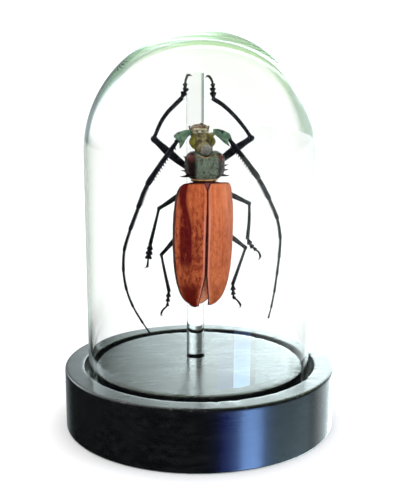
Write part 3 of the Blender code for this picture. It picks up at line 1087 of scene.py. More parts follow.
@dataclass
class BodyPlan:
    """The sizes that the wing cases and the trunk under them share."""

    length: float = 56.0
    half_width: float = 13.2
    crest: float = 8.0
    widest: float = 0.38
    shoulder_rise: float = 3.0
    shoulder_run: float = 0.15
    tail_drop: float = 2.0
    cleft_start: float = 0.74
    cleft_gaps: Sides = field(default_factory=lambda: {Side.LEFT: 2.75, Side.RIGHT: 1.9})
    suture_half_gap: float = 0.15
    lean: float = 0.6
    notch_length: float = 0.06
    notch_half_width: float = 1.3
    belly_depth: float = 5.2
    waist: float = 0.48

    def half_width_at(self, t: float) -> float:
        """Half width of the closed wing cases at a share of their length.

        Args:
            t: Share of the length, from the front.

        Returns:
            The half width.
        """
        if t < self.widest:
            shoulder = power_arc((self.widest - t) / self.widest, 2.0, 0.5)
            return self.half_width * (0.75 + 0.25 * shoulder)
        tail = power_arc((t - self.widest) / (1.0 - self.widest), 2.4, 0.28)
        return self.half_width * tail

    def crest_at(self, t: float) -> float:
        """Height of the ridge of the back.

        Args:
            t: Share of the length, from the front.

        Returns:
            The height.
        """
        if t < 0.3:
            return self.crest * (1.0 - 0.18 * (1.0 - t / 0.3) ** 2)
        return self.crest * (1.0 - 0.62 * ((t - 0.3) / 0.7) ** 2.2)

    def margin_at(self, t: float) -> float:
        """Height of the side margins."""
        rise = self.shoulder_rise * max(0.0, 1.0 - t / self.shoulder_run) ** 2
        return rise - self.tail_drop * t

    def inner_at(self, t: float, side: Side) -> float:
        """Distance of a wing case's inner edge from the middle of the back.

        Args:
            t: Share of the length, from the front.
            side: Which side of the beetle.

        Returns:
            The distance.
        """
        notch = max(0.0, 1.0 - t / self.notch_length) * self.notch_half_width
        opening = max(0.0, (t - self.cleft_start) / (1.0 - self.cleft_start))
        return self.suture_half_gap + notch + opening * self.cleft_gaps[side]

    def lean_at(self, t: float) -> float:
        """Sideways shift of the body's middle line."""
        return self.lean * max(0.0, 1.0 - t / 0.5)


@dataclass
class WingCases:
    """The two wing cases: ribbed shells with a rolled margin and a bead along the seam."""

    plan: BodyPlan
    lengths: Sides = field(default_factory=lambda: {Side.LEFT: 55.4, Side.RIGHT: 55.0})
    tip_widths: Sides = field(default_factory=lambda: {Side.LEFT: 5.4, Side.RIGHT: 3.6})
    flatness: Pair = (0.92, 0.80)
    shoulder_slope: float = 1.2
    tip_start: float = 0.86
    tip_rise: float = 0.5
    tip_reach: float = 2.6
    thickness: float = 0.7
    rows: int = 120
    columns: int = 56
    ribs: tuple[float, ...] = (0.24, 0.46, 0.68)
    rib_height: float = 0.13
    rib_half_width: float = 0.035
    bead_height: float = 0.20
    beads: tuple[Pair, ...] = ((0.0, 0.022), (1.0, 0.05))
    grain: Triple = (1.1, 1.1, 0.35)
    grain_height: float = 0.10
    finishes: dict[Side, WingShell] = field(default_factory=lambda: {
        Side.LEFT: WingShell("wing_shell_left", shade(158, 70, 36), shade(192, 102, 58), 1.0),
        # The right case is lighter than the left, with a faint band and few flecks: partly its own
        # tone, partly a painted veil of reflected light.
        Side.RIGHT: WingShell("wing_shell_right", shade(178, 88, 50), shade(206, 118, 76), 0.16,
                              0.5, 0.95, fleck_share=0.35)})

    def build(self) -> None:
        """Makes both wing cases."""
        for side in Side:
            blank = Blank()
            made = bmesh.ops.create_grid(blank.work, x_segments=self.rows,
                                         y_segments=self.columns, size=0.5)
            for vert in made["verts"]:
                u, v = (0.5 - 0.5 * math.cos(math.pi * (c + 0.5)) for c in vert.co.xy)
                vert.co, across = self.point(u, v, side)
                blank.mark([vert], u, across)
            bmesh.ops.recalc_face_normals(blank.work, faces=blank.work.faces)
            crown = max(blank.work.faces, key=lambda face: -face.calc_center_median().y)
            if crown.normal.y > 0:
                bmesh.ops.reverse_faces(blank.work, faces=blank.work.faces)
            piece = blank.finish(f"wing_shell_{side.label}", self.finishes[side].make(),
                                 Slot.CHESTNUT, f"wing_case_{side.label}", merge=1e-6,
                                 recalculate=False)
            wall = piece.modifiers.new("wall", "SOLIDIFY")
            wall.thickness = self.thickness * MM
            wall.offset = -1.0

    def point(self, u: float, v: float, side: Side) -> tuple[Vector, float]:
        """A point of a wing case and its share across.

        Args:
            u: Share along the case, from the front.
            v: Share of the turn from the seam to the margin.
            side: Which side of the beetle.

        Returns:
            The point, and its share of the case's width from the seam.
        """
        plan = self.plan
        inner, width = plan.inner_at(u, side), max(self.tip_widths[side], plan.half_width_at(u))
        turn = v * math.pi / 2
        share = math.sin(turn) ** self.flatness[0]
        margin = plan.margin_at(u)
        height = margin + (plan.crest_at(u) - margin) * math.cos(turn) ** self.flatness[1]
        slope = self.shoulder_slope * v**4 * (1.0 - u) ** 12
        inset = max(0.0, 1.0 - (width - inner) * share / self.tip_reach)
        tip = max(0.0, (u - self.tip_start) / (1.0 - self.tip_start))
        slope -= self.tip_rise * inset**2 * tip**2
        where = Vector((side.value * (inner + (width - inner) * share) + plan.lean_at(u),
                        -height, -self.lengths[side] * u - slope))
        return where + self._relief(u, v, share, side, where), share

    def _relief(self, u: float, v: float, share: float, side: Side, where: Vector) -> Vector:
        """Ribs, beads and a leathery grain, as a move away from the body.

        Args:
            u: Share along the case, from the front.
            v: Share of the turn from the seam to the margin.
            share: Share of the width from the seam.
            side: Which side of the beetle.
            where: The point before its relief.

        Returns:
            The move.
        """
        window = min(1.0, u / 0.10) * max(0.0, min(1.0, (self.tip_start - u) / 0.2))
        lift = sum(hump(share, rib, self.rib_half_width) for rib in self.ribs)
        lift *= self.rib_height * window
        lift += self.bead_height * sum(hump(v, *bead) for bead in self.beads)
        grain = noise.noise(Vector([c * size for c, size in zip(where, self.grain)]))
        lift += grain * self.grain_height * min(1.0, 12.0 * u)
        turn = v * math.pi / 2
        return Vector((side.value * math.sin(turn), -math.cos(turn), 0.0)) * lift


@dataclass
class Trunk:
    """The rear thorax and the ringed abdomen, under the wing cases."""

    plan: BodyPlan
    wing_wall: float = 0.7
    fit: float = 0.3
    clearance: float = 1.9
    rings: int = 5
    ring_depth: float = 0.07
    back_fit: float = 0.70
    tail_fit: float = 0.36
    tail_taper: float = 0.6
    tail_shift: float = 1.4
    margin_share: float = 0.35
    chest: Shell = Shell("chest_shell", shade(20, 8, 8), shade(44, 18, 14), shade(90, 60, 44),
                         0.3, (0.35, 0.5))
    # Painted light: the belly's colours are pushed bright to lift it out of the shade under the
    # wing cases.
    belly: Shell = Shell("belly_skin", shade(230, 118, 90), shade(254, 172, 124),
                         shade(254, 200, 160), 0.5, (0.35, 0.55), 1800.0, 0.4)
    tail_end: float = 0.972
    tail_narrows: float = 0.72
    collar: Triple = (0.2, -0.8, 0.35)
    collar_size: Triple = (5.7, 5.2, 0.75)

    def build(self) -> None:
        """Makes the two parts of the trunk."""
        gap = self.fit / self.plan.length / 2
        waist = self.plan.waist
        self._part("chest", "thorax", 0.0, waist - gap, self.chest, Slot.DARK_RED, 0)
        self._part("belly", "abdomen", waist + gap, self.tail_end, self.belly, Slot.TAN,
                   self.rings)

    def _part(self, name: str, node: str, start: float, end: float, finish: Shell, slot: Slot,
              rings: int) -> None:
        """Makes one part, between two shares of the body's length.

        Args:
            name: Its name.
            node: The CAD node that it stands for.
            start: Share of the length at which it starts.
            end: Share of the length at which it ends.
            finish: Its finish.
            slot: The record's slot, handed on to the blank.
            rings: How many folded rings it has.
        """
        blank = Blank()
        blank.lump(56, 72, lambda ball: self._point(ball, start, end, rings))
        if not rings:
            blank.ball(self.collar, self.collar_size, 48, 24)
        blank.roughen(0.10, 1.1)
        blank.finish(name, finish.make(), slot, node)

    def _point(self, ball: Vector, start: float, end: float, rings: int) -> Vector:
        """Moves a point of the unit sphere to the trunk's skin.

        Args:
            ball: A point of the unit sphere.
            start: Share of the length at which it starts.
            end: Share of the length at which it ends.
            rings: How many folded rings the part has.

        Returns:
            The point of the skin.
        """
        plan = self.plan
        blunt = math.copysign(abs(ball.z) ** 0.55, ball.z)
        share = 0.5 - blunt / 2
        t = start + (end - start) * share
        taper = power_arc(ball.z, 4.0, 0.25)
        ring = ring_place(ball)
        inside = min(max(t, 0.0), 0.97)
        narrow = 0.0
        if rings:
            narrow = max(0.0, (share - self.tail_narrows) / (1.0 - self.tail_narrows))
        depth = plan.belly_depth
        if ring.y < 0:
            fit = self.back_fit + self.tail_fit * narrow
            depth = (plan.crest_at(inside) - self.wing_wall) * fit
        fold = abs(math.sin(math.pi * share * rings)) ** 0.35 if rings else 1.0
        trim = 1.0 - (1.0 - fold) * self.ring_depth
        across = ring.x * (plan.half_width_at(inside) - self.clearance) * taper * trim
        across = across * (1.0 - self.tail_taper * narrow) - self.tail_shift * narrow
        rise = self.margin_share * plan.margin_at(inside)
        return Vector((across + plan.lean_at(inside), ring.y * depth * taper * trim - rise,
                       -plan.length * t))


@dataclass
class NeckShield:
    """The shield behind the head, with curved side spines and tan hair at both rims."""

    shift: float = 0.5
    middle: float = 6.5
    half_length: float = 5.8
    half_width: float = 8.7
    back: float = 6.6
    belly: float = 4.6
    wrinkle: float = 0.22
    spines: tuple[Pair, ...] = ((9.6, 11.0), (10.4, 7.0), (10.5, 4.9), (10.9, 2.3))
    spine_root: float = 5.6
    spine_depth: float = -1.5
    spine_size: float = 1.05
    waists: Pair = (0.16, 0.30)
    grooves: tuple[Pair, ...] = ((0.78, 0.08), (-0.74, 0.08))
    groove_depth: float = 0.05
    back_knob: float = 0.5
    drop: float = 1.0
    knob_side: Pair = (0.76, 0.22)
    knob_front: Pair = (0.68, 0.34)
    hairs: int = 150
    hair_rims: tuple[Triple, ...] = ((0.88, 1.3, 0.84), (-0.93, -0.7, 0.74))
    hair_size: float = 0.13
    front_dip: float = 1.7
    front_lobe: float = 1.1
    # Its knob colour is partly the front lobes' own red-brown, partly a painted highlight on them.
    shell: Shell = Shell("shield_shell", shade(10, 2, 2), shade(36, 8, 7),
                         shade(100, 114, 96), 0.95, (0.28, 0.46), 1500.0, 0.7,
                         down_span=(0.33, 0.47), down_middle=(0.44, 0.66),
                         knob=shade(88, 30, 20))
    hair: Shell = Shell("tan_hair", shade(176, 112, 58), shade(226, 168, 108),
                        shade(236, 196, 140), 0.6, (0.6, 0.8), 3000.0, 0.2, 0.3)
    hair_reach: float = 0.62

    def build(self) -> None:
        """Makes the shield, its spines and its hair."""
        blank = Blank()
        verts = blank.lump(88, 60, self._point)
        blank.roughen(self.wrinkle, 1.3, 2.0)
        blank.roughen(self.wrinkle * 0.6, 0.55, 5.0)
        for reach, height in self.spines:
            for side in Side:
                root, tip = on_side(side, (
                    (self.spine_root, self.shift, self.spine_depth, height * 0.8 + 1.2),
                    (reach, self.shift, self.spine_depth, height)))
                bend = root.lerp(tip, 0.62) + Vector((0.0, -0.1, -0.25))
                blank.thorn(root, bend, tip, self.spine_size)
        blank.mark(blank.work.verts, 0.0, 1.0)
        for vert in verts:
            side = abs(vert.co.x - self.shift) / self.half_width
            front = (vert.co.z - self.middle) / self.half_length
            # Marks the red-brown spots on the front lobes, partly their own colour and partly a
            # painted highlight.
            knob = hump(side, *self.knob_side) * hump(front, *self.knob_front)
            blank.mark([vert], knob if vert.co.y < 0.0 else 0.0, side)
        blank.finish("neck_shield", self.shell.make(), Slot.DARK_RED, "pronotum")
        self._comb_hair()

    def _point(self, ball: Vector) -> Vector:
        """Moves a point of the unit sphere to the shield's skin.

        Args:
            ball: A point of the unit sphere.

        Returns:
            The point of the skin.
        """
        along = math.copysign(abs(ball.z) ** 0.6, ball.z)
        ahead = max(0.0, along) ** 3
        waist = 1.0 - self.waists[0] * max(0.0, along) ** 4 - self.waists[1] * max(0.0, -along) ** 3
        collar = 1.0 - self.groove_depth * sum(hump(along, *groove) for groove in self.grooves)
        ring = ring_place(ball)
        taper = power_arc(ball.z, 6.0, 0.3) * waist * collar
        depth, dip = self.belly, -self.front_lobe * ring.x**2 * ahead
        if ring.y < 0:
            knobs = hump(ring.x, -0.45, 0.2) + hump(ring.x, 0.45, 0.2)
            depth = self.back + self.back_knob * knobs * hump(along, 0.1, 0.4)
            dip += self.front_dip * hump(ring.x, 0.0, self.hair_reach) * ahead
        return Vector((self.shift + self.half_width * ring.x * taper,
                       depth * ring.y * taper - self.drop,
                       self.middle + self.half_length * along - dip))

    def _comb_hair(self) -> None:
        """Sets short hairs along the front and the rear rim of the back."""
        blank = Blank()
        for along, reach, size in self.hair_rims:
            for k in range(self.hairs):
                lean = math.radians(-8.0 + 196.0 * (k + 0.5) / self.hairs)
                jitter = noise.noise(Vector((k * 0.37, along, 3.0)))
                side, back = math.cos(lean), -math.sin(lean)
                if along > 0 and abs(side) > self.hair_reach:
                    continue
                dip = self.front_dip * hump(side, 0.0, self.hair_reach) if along > 0 else 0.0
                root = Vector((self.shift + side * self.half_width * size * 0.86,
                               back * self.back * size * 0.92 - self.drop,
                               self.middle + self.half_length * along - dip))
                tip = root + Vector((side * 0.3 + jitter * 0.3, back * 0.35,
                                     reach * (0.75 + 0.3 * jitter)))
                blank.spike(root, tip, self.hair_size, 4)
        blank.finish("shield_hair", self.hair.make(), Slot.TAN)


@dataclass
class Head:
    """The head: capsule, eyes, horn seats, jaws and feelers of the mouth."""

    middle: float = 17.1
    half_length: float = 4.5
    width: float = 3.9
    eye_bulge: float = 1.05
    eye_span: Pair = (17.3, 2.1)
    furrow: float = 0.5
    back: float = 3.9
    belly: float = 3.3
    tilt: float = 1.6
    seats: tuple[Sided, ...] = ((2.0, -0.5, -1.4, 19.2), (4.2, -0.5, -1.2, 20.4))
    neck_place: Triple = (0.4, -2.9, 13.9)
    neck_size: Triple = (2.9, 2.6, 2.8)
    eye_path: tuple[Sided, ...] = ((3.7, -0.7, -1.9, 19.4), (4.2, -0.6, -1.5, 17.2),
                                   (3.4, -0.7, -0.9, 15.4))
    jaw_path: tuple[Sided, ...] = ((2.2, -1.1, 1.6, 21.8), (2.3, -1.1, 1.8, 23.3),
                                   (0.5, -1.1, 2.2, 24.3))
    lips: tuple[Sided, ...] = ((3.0, -0.7, 21.0, 0.7), (2.5, 0.2, 22.6, 0.6))
    tongue_place: Triple = (-1.1, 1.9, 23.2)
    tongue_size: Triple = (1.7, 0.9, 1.0)
    hook: tuple[Triple, ...] = ((-1.6, 1.9, 23.6), (-0.5, 1.9, 25.0), (0.4, 1.9, 24.7),
                                (0.7, 1.9, 23.8))
    feeler_joints: tuple[Sided, ...] = ((3.0, -1.1, 1.6, 20.8), (3.9, -1.3, 1.8, 21.9),
                                        (4.2, -1.3, 1.9, 23.9))
    capsule: Shell = Shell("head_shell", shade(40, 34, 20), shade(84, 74, 40),
                           shade(150, 138, 92), 0.8, (0.32, 0.5), 1900.0, 0.6)
    neck: Shell = Shell("neck_skin", shade(82, 80, 74), shade(132, 130, 120),
                        shade(150, 148, 138), 0.2, (0.18, 0.30), 3000.0, 0.12)
    lip: Shell = Shell("lip_skin", shade(112, 104, 66), shade(186, 178, 144),
                       shade(214, 208, 184), 0.6, (0.3, 0.5), 2600.0, 0.3)
    eye: Shell = Shell("eye_facets", shade(60, 56, 14), shade(116, 110, 34),
                       shade(140, 132, 60), 0.2, (0.14, 0.22), 5200.0, 0.5)
    jaw: Shell = Shell("jaw_shell", shade(52, 40, 28), shade(132, 112, 88),
                       shade(178, 164, 140), 0.5, (0.22, 0.36), 2400.0, 0.3)

    def build(self) -> None:
        """Makes the head's pieces."""
        blank = Blank()
        blank.lump(72, 52, self._point)
        blank.roughen(0.14, 0.8, 7.0)
        for side in Side:
            seat = smooth_path(on_side(side, self.seats), 4)
            blank.tube(seat, lambda s: (1.35 - 0.25 * s,) * 2, 18)
        blank.finish("head_capsule", self.capsule.make(), Slot.OLIVE, "head")
        self._neck()
        self._eyes()
        self._mouth()

    def _point(self, ball: Vector) -> Vector:
        """Moves a point of the unit sphere to the capsule's skin.

        Args:
            ball: A point of the unit sphere.

        Returns:
            The point of the skin.
        """
        along = math.copysign(abs(ball.z) ** 0.62, ball.z)
        height = self.middle + self.half_length * along
        ring = ring_place(ball)
        taper = power_arc(ball.z, 6.0, 0.3)
        across = (self.width + self.eye_bulge * hump(height, *self.eye_span)) * ring.x * taper
        furrow = self.furrow * hump(ring.x, 0.0, 0.16) * hump(along, 0.35, 0.4)
        depth = (self.back - furrow if ring.y < 0 else self.belly) * ring.y * taper
        return Vector((across - 0.3 - 0.4 * along, depth + self.tilt * along, height))

    def _neck(self) -> None:
        """The smooth round neck that fits into the shield."""
        blank = Blank()
        blank.ball(self.neck_place, self.neck_size, 48, 32)
        blank.finish("neck", self.neck.make(), Slot.OLIVE)

    def _eyes(self) -> None:
        """The two kidney-shaped eyes round the horn seats."""
        blank = Blank()
        for side in Side:
            blank.tube(smooth_path(on_side(side, self.eye_path), 6),
                       lambda s: (1.1 + 0.5 * hump(s, 0.5, 0.4), 1.5), 24)
        blank.finish("eyes", self.eye.make(), Slot.BLACK)

    def _mouth(self) -> None:
        """The two curved jaws, the upper lip and the jointed mouth feelers."""
        for side in Side:
            path = smooth_path(on_side(side, self.jaw_path), 8)
            blank = Blank()
            blank.tube(path, lambda s: (1.75 - 1.0 * s**1.4, 1.2 - 0.5 * s), 18)
            blank.finish(f"jaw_{side.label}", self.jaw.make(), Slot.DARK_RED,
                         f"mandible_{side.label}")
        blank = Blank()
        for reach, back, height, size in self.lips:
            band = [(reach * k - 1.0, back + abs(k) * 0.5, height) for k in (-1.0, 0.0, 1.0)]
            blank.tube(smooth_path(band, 6), lambda s, a=size: (a, a * 0.8), 16)
        blank.roughen(0.08, 0.7, 2.0)
        blank.finish("lip_bands", self.lip.make(), Slot.TAN)
        blank = Blank()
        blank.ball(self.tongue_place, self.tongue_size, 20, 14)
        blank.tube(smooth_path(self.hook, 6), lambda s: (0.62 - 0.2 * s,) * 2, 14)
        for side in Side:
            joints = on_side(side, self.feeler_joints)
            for a, b in zip(joints, joints[1:]):
                blank.tube(smooth_path([a, b], 4), lambda s: (0.26 + 0.16 * s,) * 2, 10)
        blank.finish("mouth_feelers", self.jaw.make(), Slot.DARK_RED)


@dataclass
class Scutellum:
    """The small plate in the notch between the wing cases."""

    finish: Shell = Shell("plate_shell", shade(66, 6, 16), shade(140, 54, 60),
                          shade(176, 104, 104), 0.4, (0.4, 0.55), 2200.0, 0.7)

    def build(self) -> None:
        """Makes the crowned plate inside its node's box."""
        low, high = (corner - BEETLE_PLACE for corner in node_box("scutellum"))
        middle = (low.x + high.x) / 2
        blank = Blank()
        path = smooth_path([(middle, high.y - 0.1, high.z), (middle, high.y - 0.2, low.z)], 10)
        half = (high.x - low.x) / 2
        blank.tube(path, lambda s: (half * (1.0 - s) ** 0.7 + 0.08, 0.35), 20)
        blank.finish("seam_plate", self.finish.make(), Slot.DARK_RED, "scutellum")


@dataclass
class Antenna:
    """One feeler: its broad first joint, a small ball joint and nine long joints."""

    side: Side
    scape: tuple[Pair, ...]
    joints: tuple[Pair, ...]
    depth: float = -2.0
    radii: tuple[Pair, ...] = ((0.98, 1.18), (0.84, 0.98), (0.68, 0.82), (0.58, 0.70),
                               (0.52, 0.64), (0.47, 0.59), (0.42, 0.53), (0.36, 0.47),
                               (0.29, 0.42))
    scape_half: float = 0.8
    crease: float = 0.7
    crowning: tuple[Pair, ...] = ((0.35, 0.28), (0.7, 0.26))
    saw_joints: int = 8
    first_teeth: int = 12
    knuckle: float = 0.58
    knuckle_span: Pair = (0.93, 0.11)
    neck: float = 0.22
    neck_length: float = 0.08
    flattening: float = 0.9
    broad: Shell = Shell("horn_root_shell", shade(28, 44, 36), shade(78, 112, 86),
                         shade(120, 146, 118), 0.55, (0.24, 0.4), 1700.0, 0.6)
    dark: Shell = Shell("horn_shell", shade(4, 3, 4), shade(12, 9, 12), shade(44, 38, 46),
                        0.25, (0.3, 0.45), 2600.0, 0.6, 0.12, (0.35, 0.4, 0.9),
                        (0.8, 0.84, 1.0))

    def build(self) -> None:
        """Makes the feeler's pieces."""
        self._broad_joint()
        self._whip()

    def _broad_joint(self) -> None:
        """The crowned, toothed first joint, cut to its outline."""
        blank = Blank()
        verts = [blank.work.verts.new((x, self.depth, z)) for x, z in self.scape]
        face = blank.work.faces.new(verts)
        made = bmesh.ops.extrude_face_region(blank.work, geom=[face])["geom"]
        for part, way in ((only(BMVert, made), 0.5), (verts, -0.5)):
            bmesh.ops.translate(blank.work, vec=(0.0, self.scape_half * way, 0.0), verts=part)
        bmesh.ops.recalc_face_normals(blank.work, faces=blank.work.faces)
        flats = [f for f in blank.work.faces if abs(f.normal.y) > 0.9]
        corners = blank.work.edges.layers.float.new("crease_edge")
        for edge in blank.work.edges:
            edge[corners] = self.crease
        for thickness, rise in self.crowning:
            bmesh.ops.inset_region(blank.work, faces=flats, thickness=thickness, depth=rise,
                                   use_even_offset=True)
        bmesh.ops.triangulate(blank.work, faces=[f for f in flats if f.is_valid])
        blank.roughen(0.08, 0.9, 3.0)
        piece = blank.finish(f"horn_root_{self.side.label}", self.broad.make(), Slot.BLACK,
                             f"scape_{self.side.label}")
        smooth = piece.modifiers.new("rounded", "SUBSURF")
        smooth.levels = smooth.render_levels = 2

    def _whip(self) -> None:
        """The ball joint and the long joints, which swell at their ends and carry teeth."""
        blank = Blank()
        points = [Vector((x, self.depth, z)) for x, z in self.joints]
        blank.ball(points[0] + UPWARD * 0.3, (1.0, 0.9, 0.95), 20, 14)
        curve = smooth_path(points, 10)
        for index, (thin, thick) in enumerate(self.radii):
            path = curve[index * 10:index * 10 + 11]
            blank.tube(path, lambda s, a=thin, b=thick: self._swell(s, a, b), 14)
            if index < self.saw_joints:
                self._saw(blank, path, thin, thick, index)
        blank.finish(f"horn_{self.side.label}", self.dark.make(), Slot.BLACK,
                     f"flagellum_{self.side.label}")

    def _swell(self, share: float, thin: float, thick: float) -> Pair:
        """Half sizes of a joint, thin at its start and swollen before its end.

        Args:
            share: Share of the length.
            thin: Half size at its start.
            thick: Half size at its end.

        Returns:
            The half sizes, across and in depth.
        """
        growth = 0.50 * share + self.knuckle * hump(share, *self.knuckle_span)
        size = thin + (thick * 1.12 - thin) * growth
        size *= 1.0 - self.neck * (1.0 - min(1.0, share / self.neck_length))
        return size, size * self.flattening

    def _saw(self, blank: Blank, path: Sequence[Vector], thin: float, thick: float,
             index: int) -> None:
        """Small teeth along a joint's inner edge.

        Args:
            blank: The blank to work on.
            path: The joint's middle line.
            thin: Half size at its start.
            thick: Half size at its end.
            index: Which joint it is, from the root.
        """
        teeth = self.first_teeth - index
        for k in range(teeth):
            place, ahead, side = axes_at(path, 0.12 + 0.8 * k / teeth, 0.03)
            outward = side * -self.side.value
            size = thin + (thick - thin) * 0.4
            root = place + outward * size * 0.6
            blank.spike(root, root + outward * size * 1.35 + ahead * size * 0.6, size * 0.5, 5)


@dataclass
class Leg:
    """One leg, from the hip to the claws."""

    name: str
    hip: Triple
    knee: Triple
    shin_path: tuple[Triple, ...]
    foot: tuple[Triple, ...]
    thigh: float
    shin: Pair
    pads_end: float = 0.50
    pad_sizes: tuple[float, ...] = (1.05, 0.95, 0.75)
    claw_root: float = 0.84
    claw_splay: float = 0.35
    thigh_depth: float = 0.70
    thigh_bow: float = 0.35
    shin_depth: float = 0.82
    spines: int = 7
    first_spine: float = 0.3
    spine_gap: float = 0.09
    spine_size: float = 0.16
    spur: float = 1.3
    spur_size: float = 0.2
    shell: Shell = Shell("leg_shell", shade(4, 3, 4), shade(12, 10, 16), shade(58, 56, 64),
                         0.3, (0.24, 0.4), 2400.0, 0.55, 0.15, (0.3, 0.38, 0.95),
                         (0.78, 0.84, 1.0))

    def build(self) -> None:
        """Makes the leg's four pieces."""
        hip, knee = Vector(self.hip), Vector(self.knee)
        shin = smooth_path([knee, *self.shin_path], 10)
        material = self.shell.make()
        self._hip(hip, knee, material)
        self._thigh(hip, knee, material)
        self._shin(shin, material)
        self._foot(shin[-1], material)

    def _hip(self, hip: Vector, knee: Vector, material: bpy.types.Material) -> None:
        """The rounded hip, with the small ring between it and the thigh.

        Args:
            hip: Middle of the hip.
            knee: Middle of the knee.
            material: Its finish.
        """
        blank = Blank()
        size = self.thigh
        blank.ball(hip, (size * 1.25,) * 3, 28, 20)
        ahead = (knee - hip).normalized()
        blank.tube([hip + ahead * size * 0.7, hip + ahead * size * 1.7],
                   lambda s: (size * 0.72,) * 2, 16)
        blank.roughen(0.06, 0.7)
        blank.finish(f"hip_{self.name}", material, Slot.BLACK, f"coxa_{self.name}")

    def _thigh(self, hip: Vector, knee: Vector, material: bpy.types.Material) -> None:
        """The flattened thigh, widest past its middle, with cheeks at the knee.

        Args:
            hip: Middle of the hip.
            knee: Middle of the knee.
            material: Its finish.
        """
        blank = Blank()
        size = self.thigh
        side = (knee - hip).cross(TO_BELLY).normalized()
        bow = hip.lerp(knee, 0.5) + side * self.thigh_bow
        path = smooth_path([hip.lerp(knee, 0.06), bow, knee], 12)
        blank.tube(path, lambda s: self._thigh_size(s, size), 20)
        blank.ball(knee, (size * 0.86, size * 0.80, size * 0.86), 20, 14)
        blank.roughen(0.05, 0.8, 4.0)
        blank.finish(f"thigh_{self.name}", material, Slot.BLACK, f"femur_{self.name}")

    def _thigh_size(self, share: float, size: float) -> Pair:
        """Half sizes of the thigh at a share of its length.

        Args:
            share: Share of the length.
            size: Half size of the whole thigh.

        Returns:
            The half sizes, across and in depth.
        """
        belly, cheek = hump(share, 0.50, 0.36), hump(share, 1.0, 0.08)
        across = size * (0.68 + 0.46 * belly + 0.16 * cheek)
        return across, across * self.thigh_depth

    def _shin(self, path: list[Vector], material: bpy.types.Material) -> None:
        """The shin, which widens to the ankle and carries spines and two spurs.

        Args:
            path: The shin's middle line.
            material: Its finish.
        """
        blank = Blank()
        blank.tube(path, self._shin_size, 16)
        middle = path[len(path) // 2]
        chord = path[-1] - path[0]
        for k in range(self.spines):
            share = self.first_spine + self.spine_gap * k
            place, ahead, side = axes_at(path, share, 0.02)
            if side.dot(middle - (path[0] + chord / 2)) > 0:
                side = -side
            radius = self._shin_size(share)[0]
            root = place + side * radius * 0.7
            blank.spike(root, root + side * 0.5 + ahead * 0.45, self.spine_size, 5)
        ahead = (path[-1] - path[-2]).normalized()
        side = ahead.cross(TO_BELLY)
        for sign in (-1.0, 1.0):
            root = path[-1] + side * sign * self.shin[1] * 0.7
            blank.spike(root, root + ahead * self.spur + side * sign * 0.35, self.spur_size, 6)
        blank.finish(f"shin_{self.name}", material, Slot.BLACK, f"tibia_{self.name}")

    def _shin_size(self, share: float) -> Pair:
        """Half sizes of the shin at a share of its length.

        Args:
            share: Share of the length.

        Returns:
            The half sizes, across and in depth.
        """
        thin, thick = self.shin
        across = thin + (thick - thin) * share**1.2 + 0.18 * hump(share, 0.0, 0.06)
        return across, across * self.shin_depth

    def _foot(self, ankle: Vector, material: bpy.types.Material) -> None:
        """Three lobed pads, a thin claw joint and two hooked claws.

        Args:
            ankle: Middle of the ankle.
            material: Its finish.
        """
        blank = Blank()
        path = smooth_path([ankle, *self.foot], 8)
        edges = [self.pads_end * k / 3 for k in range(4)]
        for start, end, full in zip(edges, edges[1:], self.pad_sizes):
            size = self.shin[1] * full
            pad = cut_path(path, start + 0.02, end, 8)
            blank.tube(pad, lambda s, a=size: (a * (0.6 + 0.62 * s**1.5), a * 0.6), 16)
            ahead = (pad[-1] - pad[-2]).normalized()
            side = ahead.cross(TO_BELLY)
            for sign in (-1.0, 1.0):
                root = pad[-2] + side * sign * size * 0.55
                lobe = [root, root + (ahead * 0.9 + side * sign * 0.4) * size * 0.9]
                blank.tube(lobe, lambda s: (size * 0.55, size * 0.35), 10)
        size = self.shin[1]
        joint = cut_path(path, self.pads_end - 0.04, self.claw_root, 12)
        blank.tube(joint, lambda s: (size * (0.42 + 0.22 * s),) * 2, 12)
        root, bend, tip = cut_path(path, self.claw_root - 0.02, 1.0, 2)
        side = (bend - root).cross(TO_BELLY).normalized()
        for sign in (-1.0, 1.0):
            splay = (TO_BELLY + side * 0.7) * sign * self.claw_splay
            blank.thorn(root + splay * 0.4, bend + splay * 1.1, tip + splay * 1.6, size * 0.42)
        blank.finish(f"foot_{self.name}", material, Slot.BLACK, f"tarsus_{self.name}")


SCAPES = {
    Side.LEFT: ((-5.1, 22.3), (-6.6, 22.7), (-8.6, 22.5), (-11.4, 21.6), (-13.1, 20.2),
                (-12.9, 19.3), (-11.8, 18.5), (-10.6, 16.6), (-10.5, 14.2), (-9.2, 16.0),
                (-8.0, 18.3), (-6.8, 19.9), (-5.1, 20.8)),
    Side.RIGHT: ((4.0, 21.0), (6.6, 18.8), (8.8, 16.7), (11.3, 14.9), (10.6, 16.7),
                 (10.6, 17.9), (11.6, 18.4), (11.8, 19.7), (11.1, 20.9), (8.8, 22.2),
                 (6.2, 23.0), (4.0, 22.9)),
}
HORNS = {
    Side.LEFT: ((-11.8, 17.4), (-24.2, -0.3), (-28.4, -10.2), (-32.0, -19.6), (-34.7, -28.6),
                (-35.2, -37.7), (-34.0, -46.0), (-31.3, -53.7), (-27.2, -61.2), (-24.3, -65.7)),
    Side.RIGHT: ((11.2, 18.0), (23.9, 1.2), (29.2, -8.3), (33.1, -17.2), (34.7, -26.2),
                 (34.3, -34.7), (33.4, -42.7), (32.3, -50.6), (31.0, -57.4), (29.8, -62.2)),
}
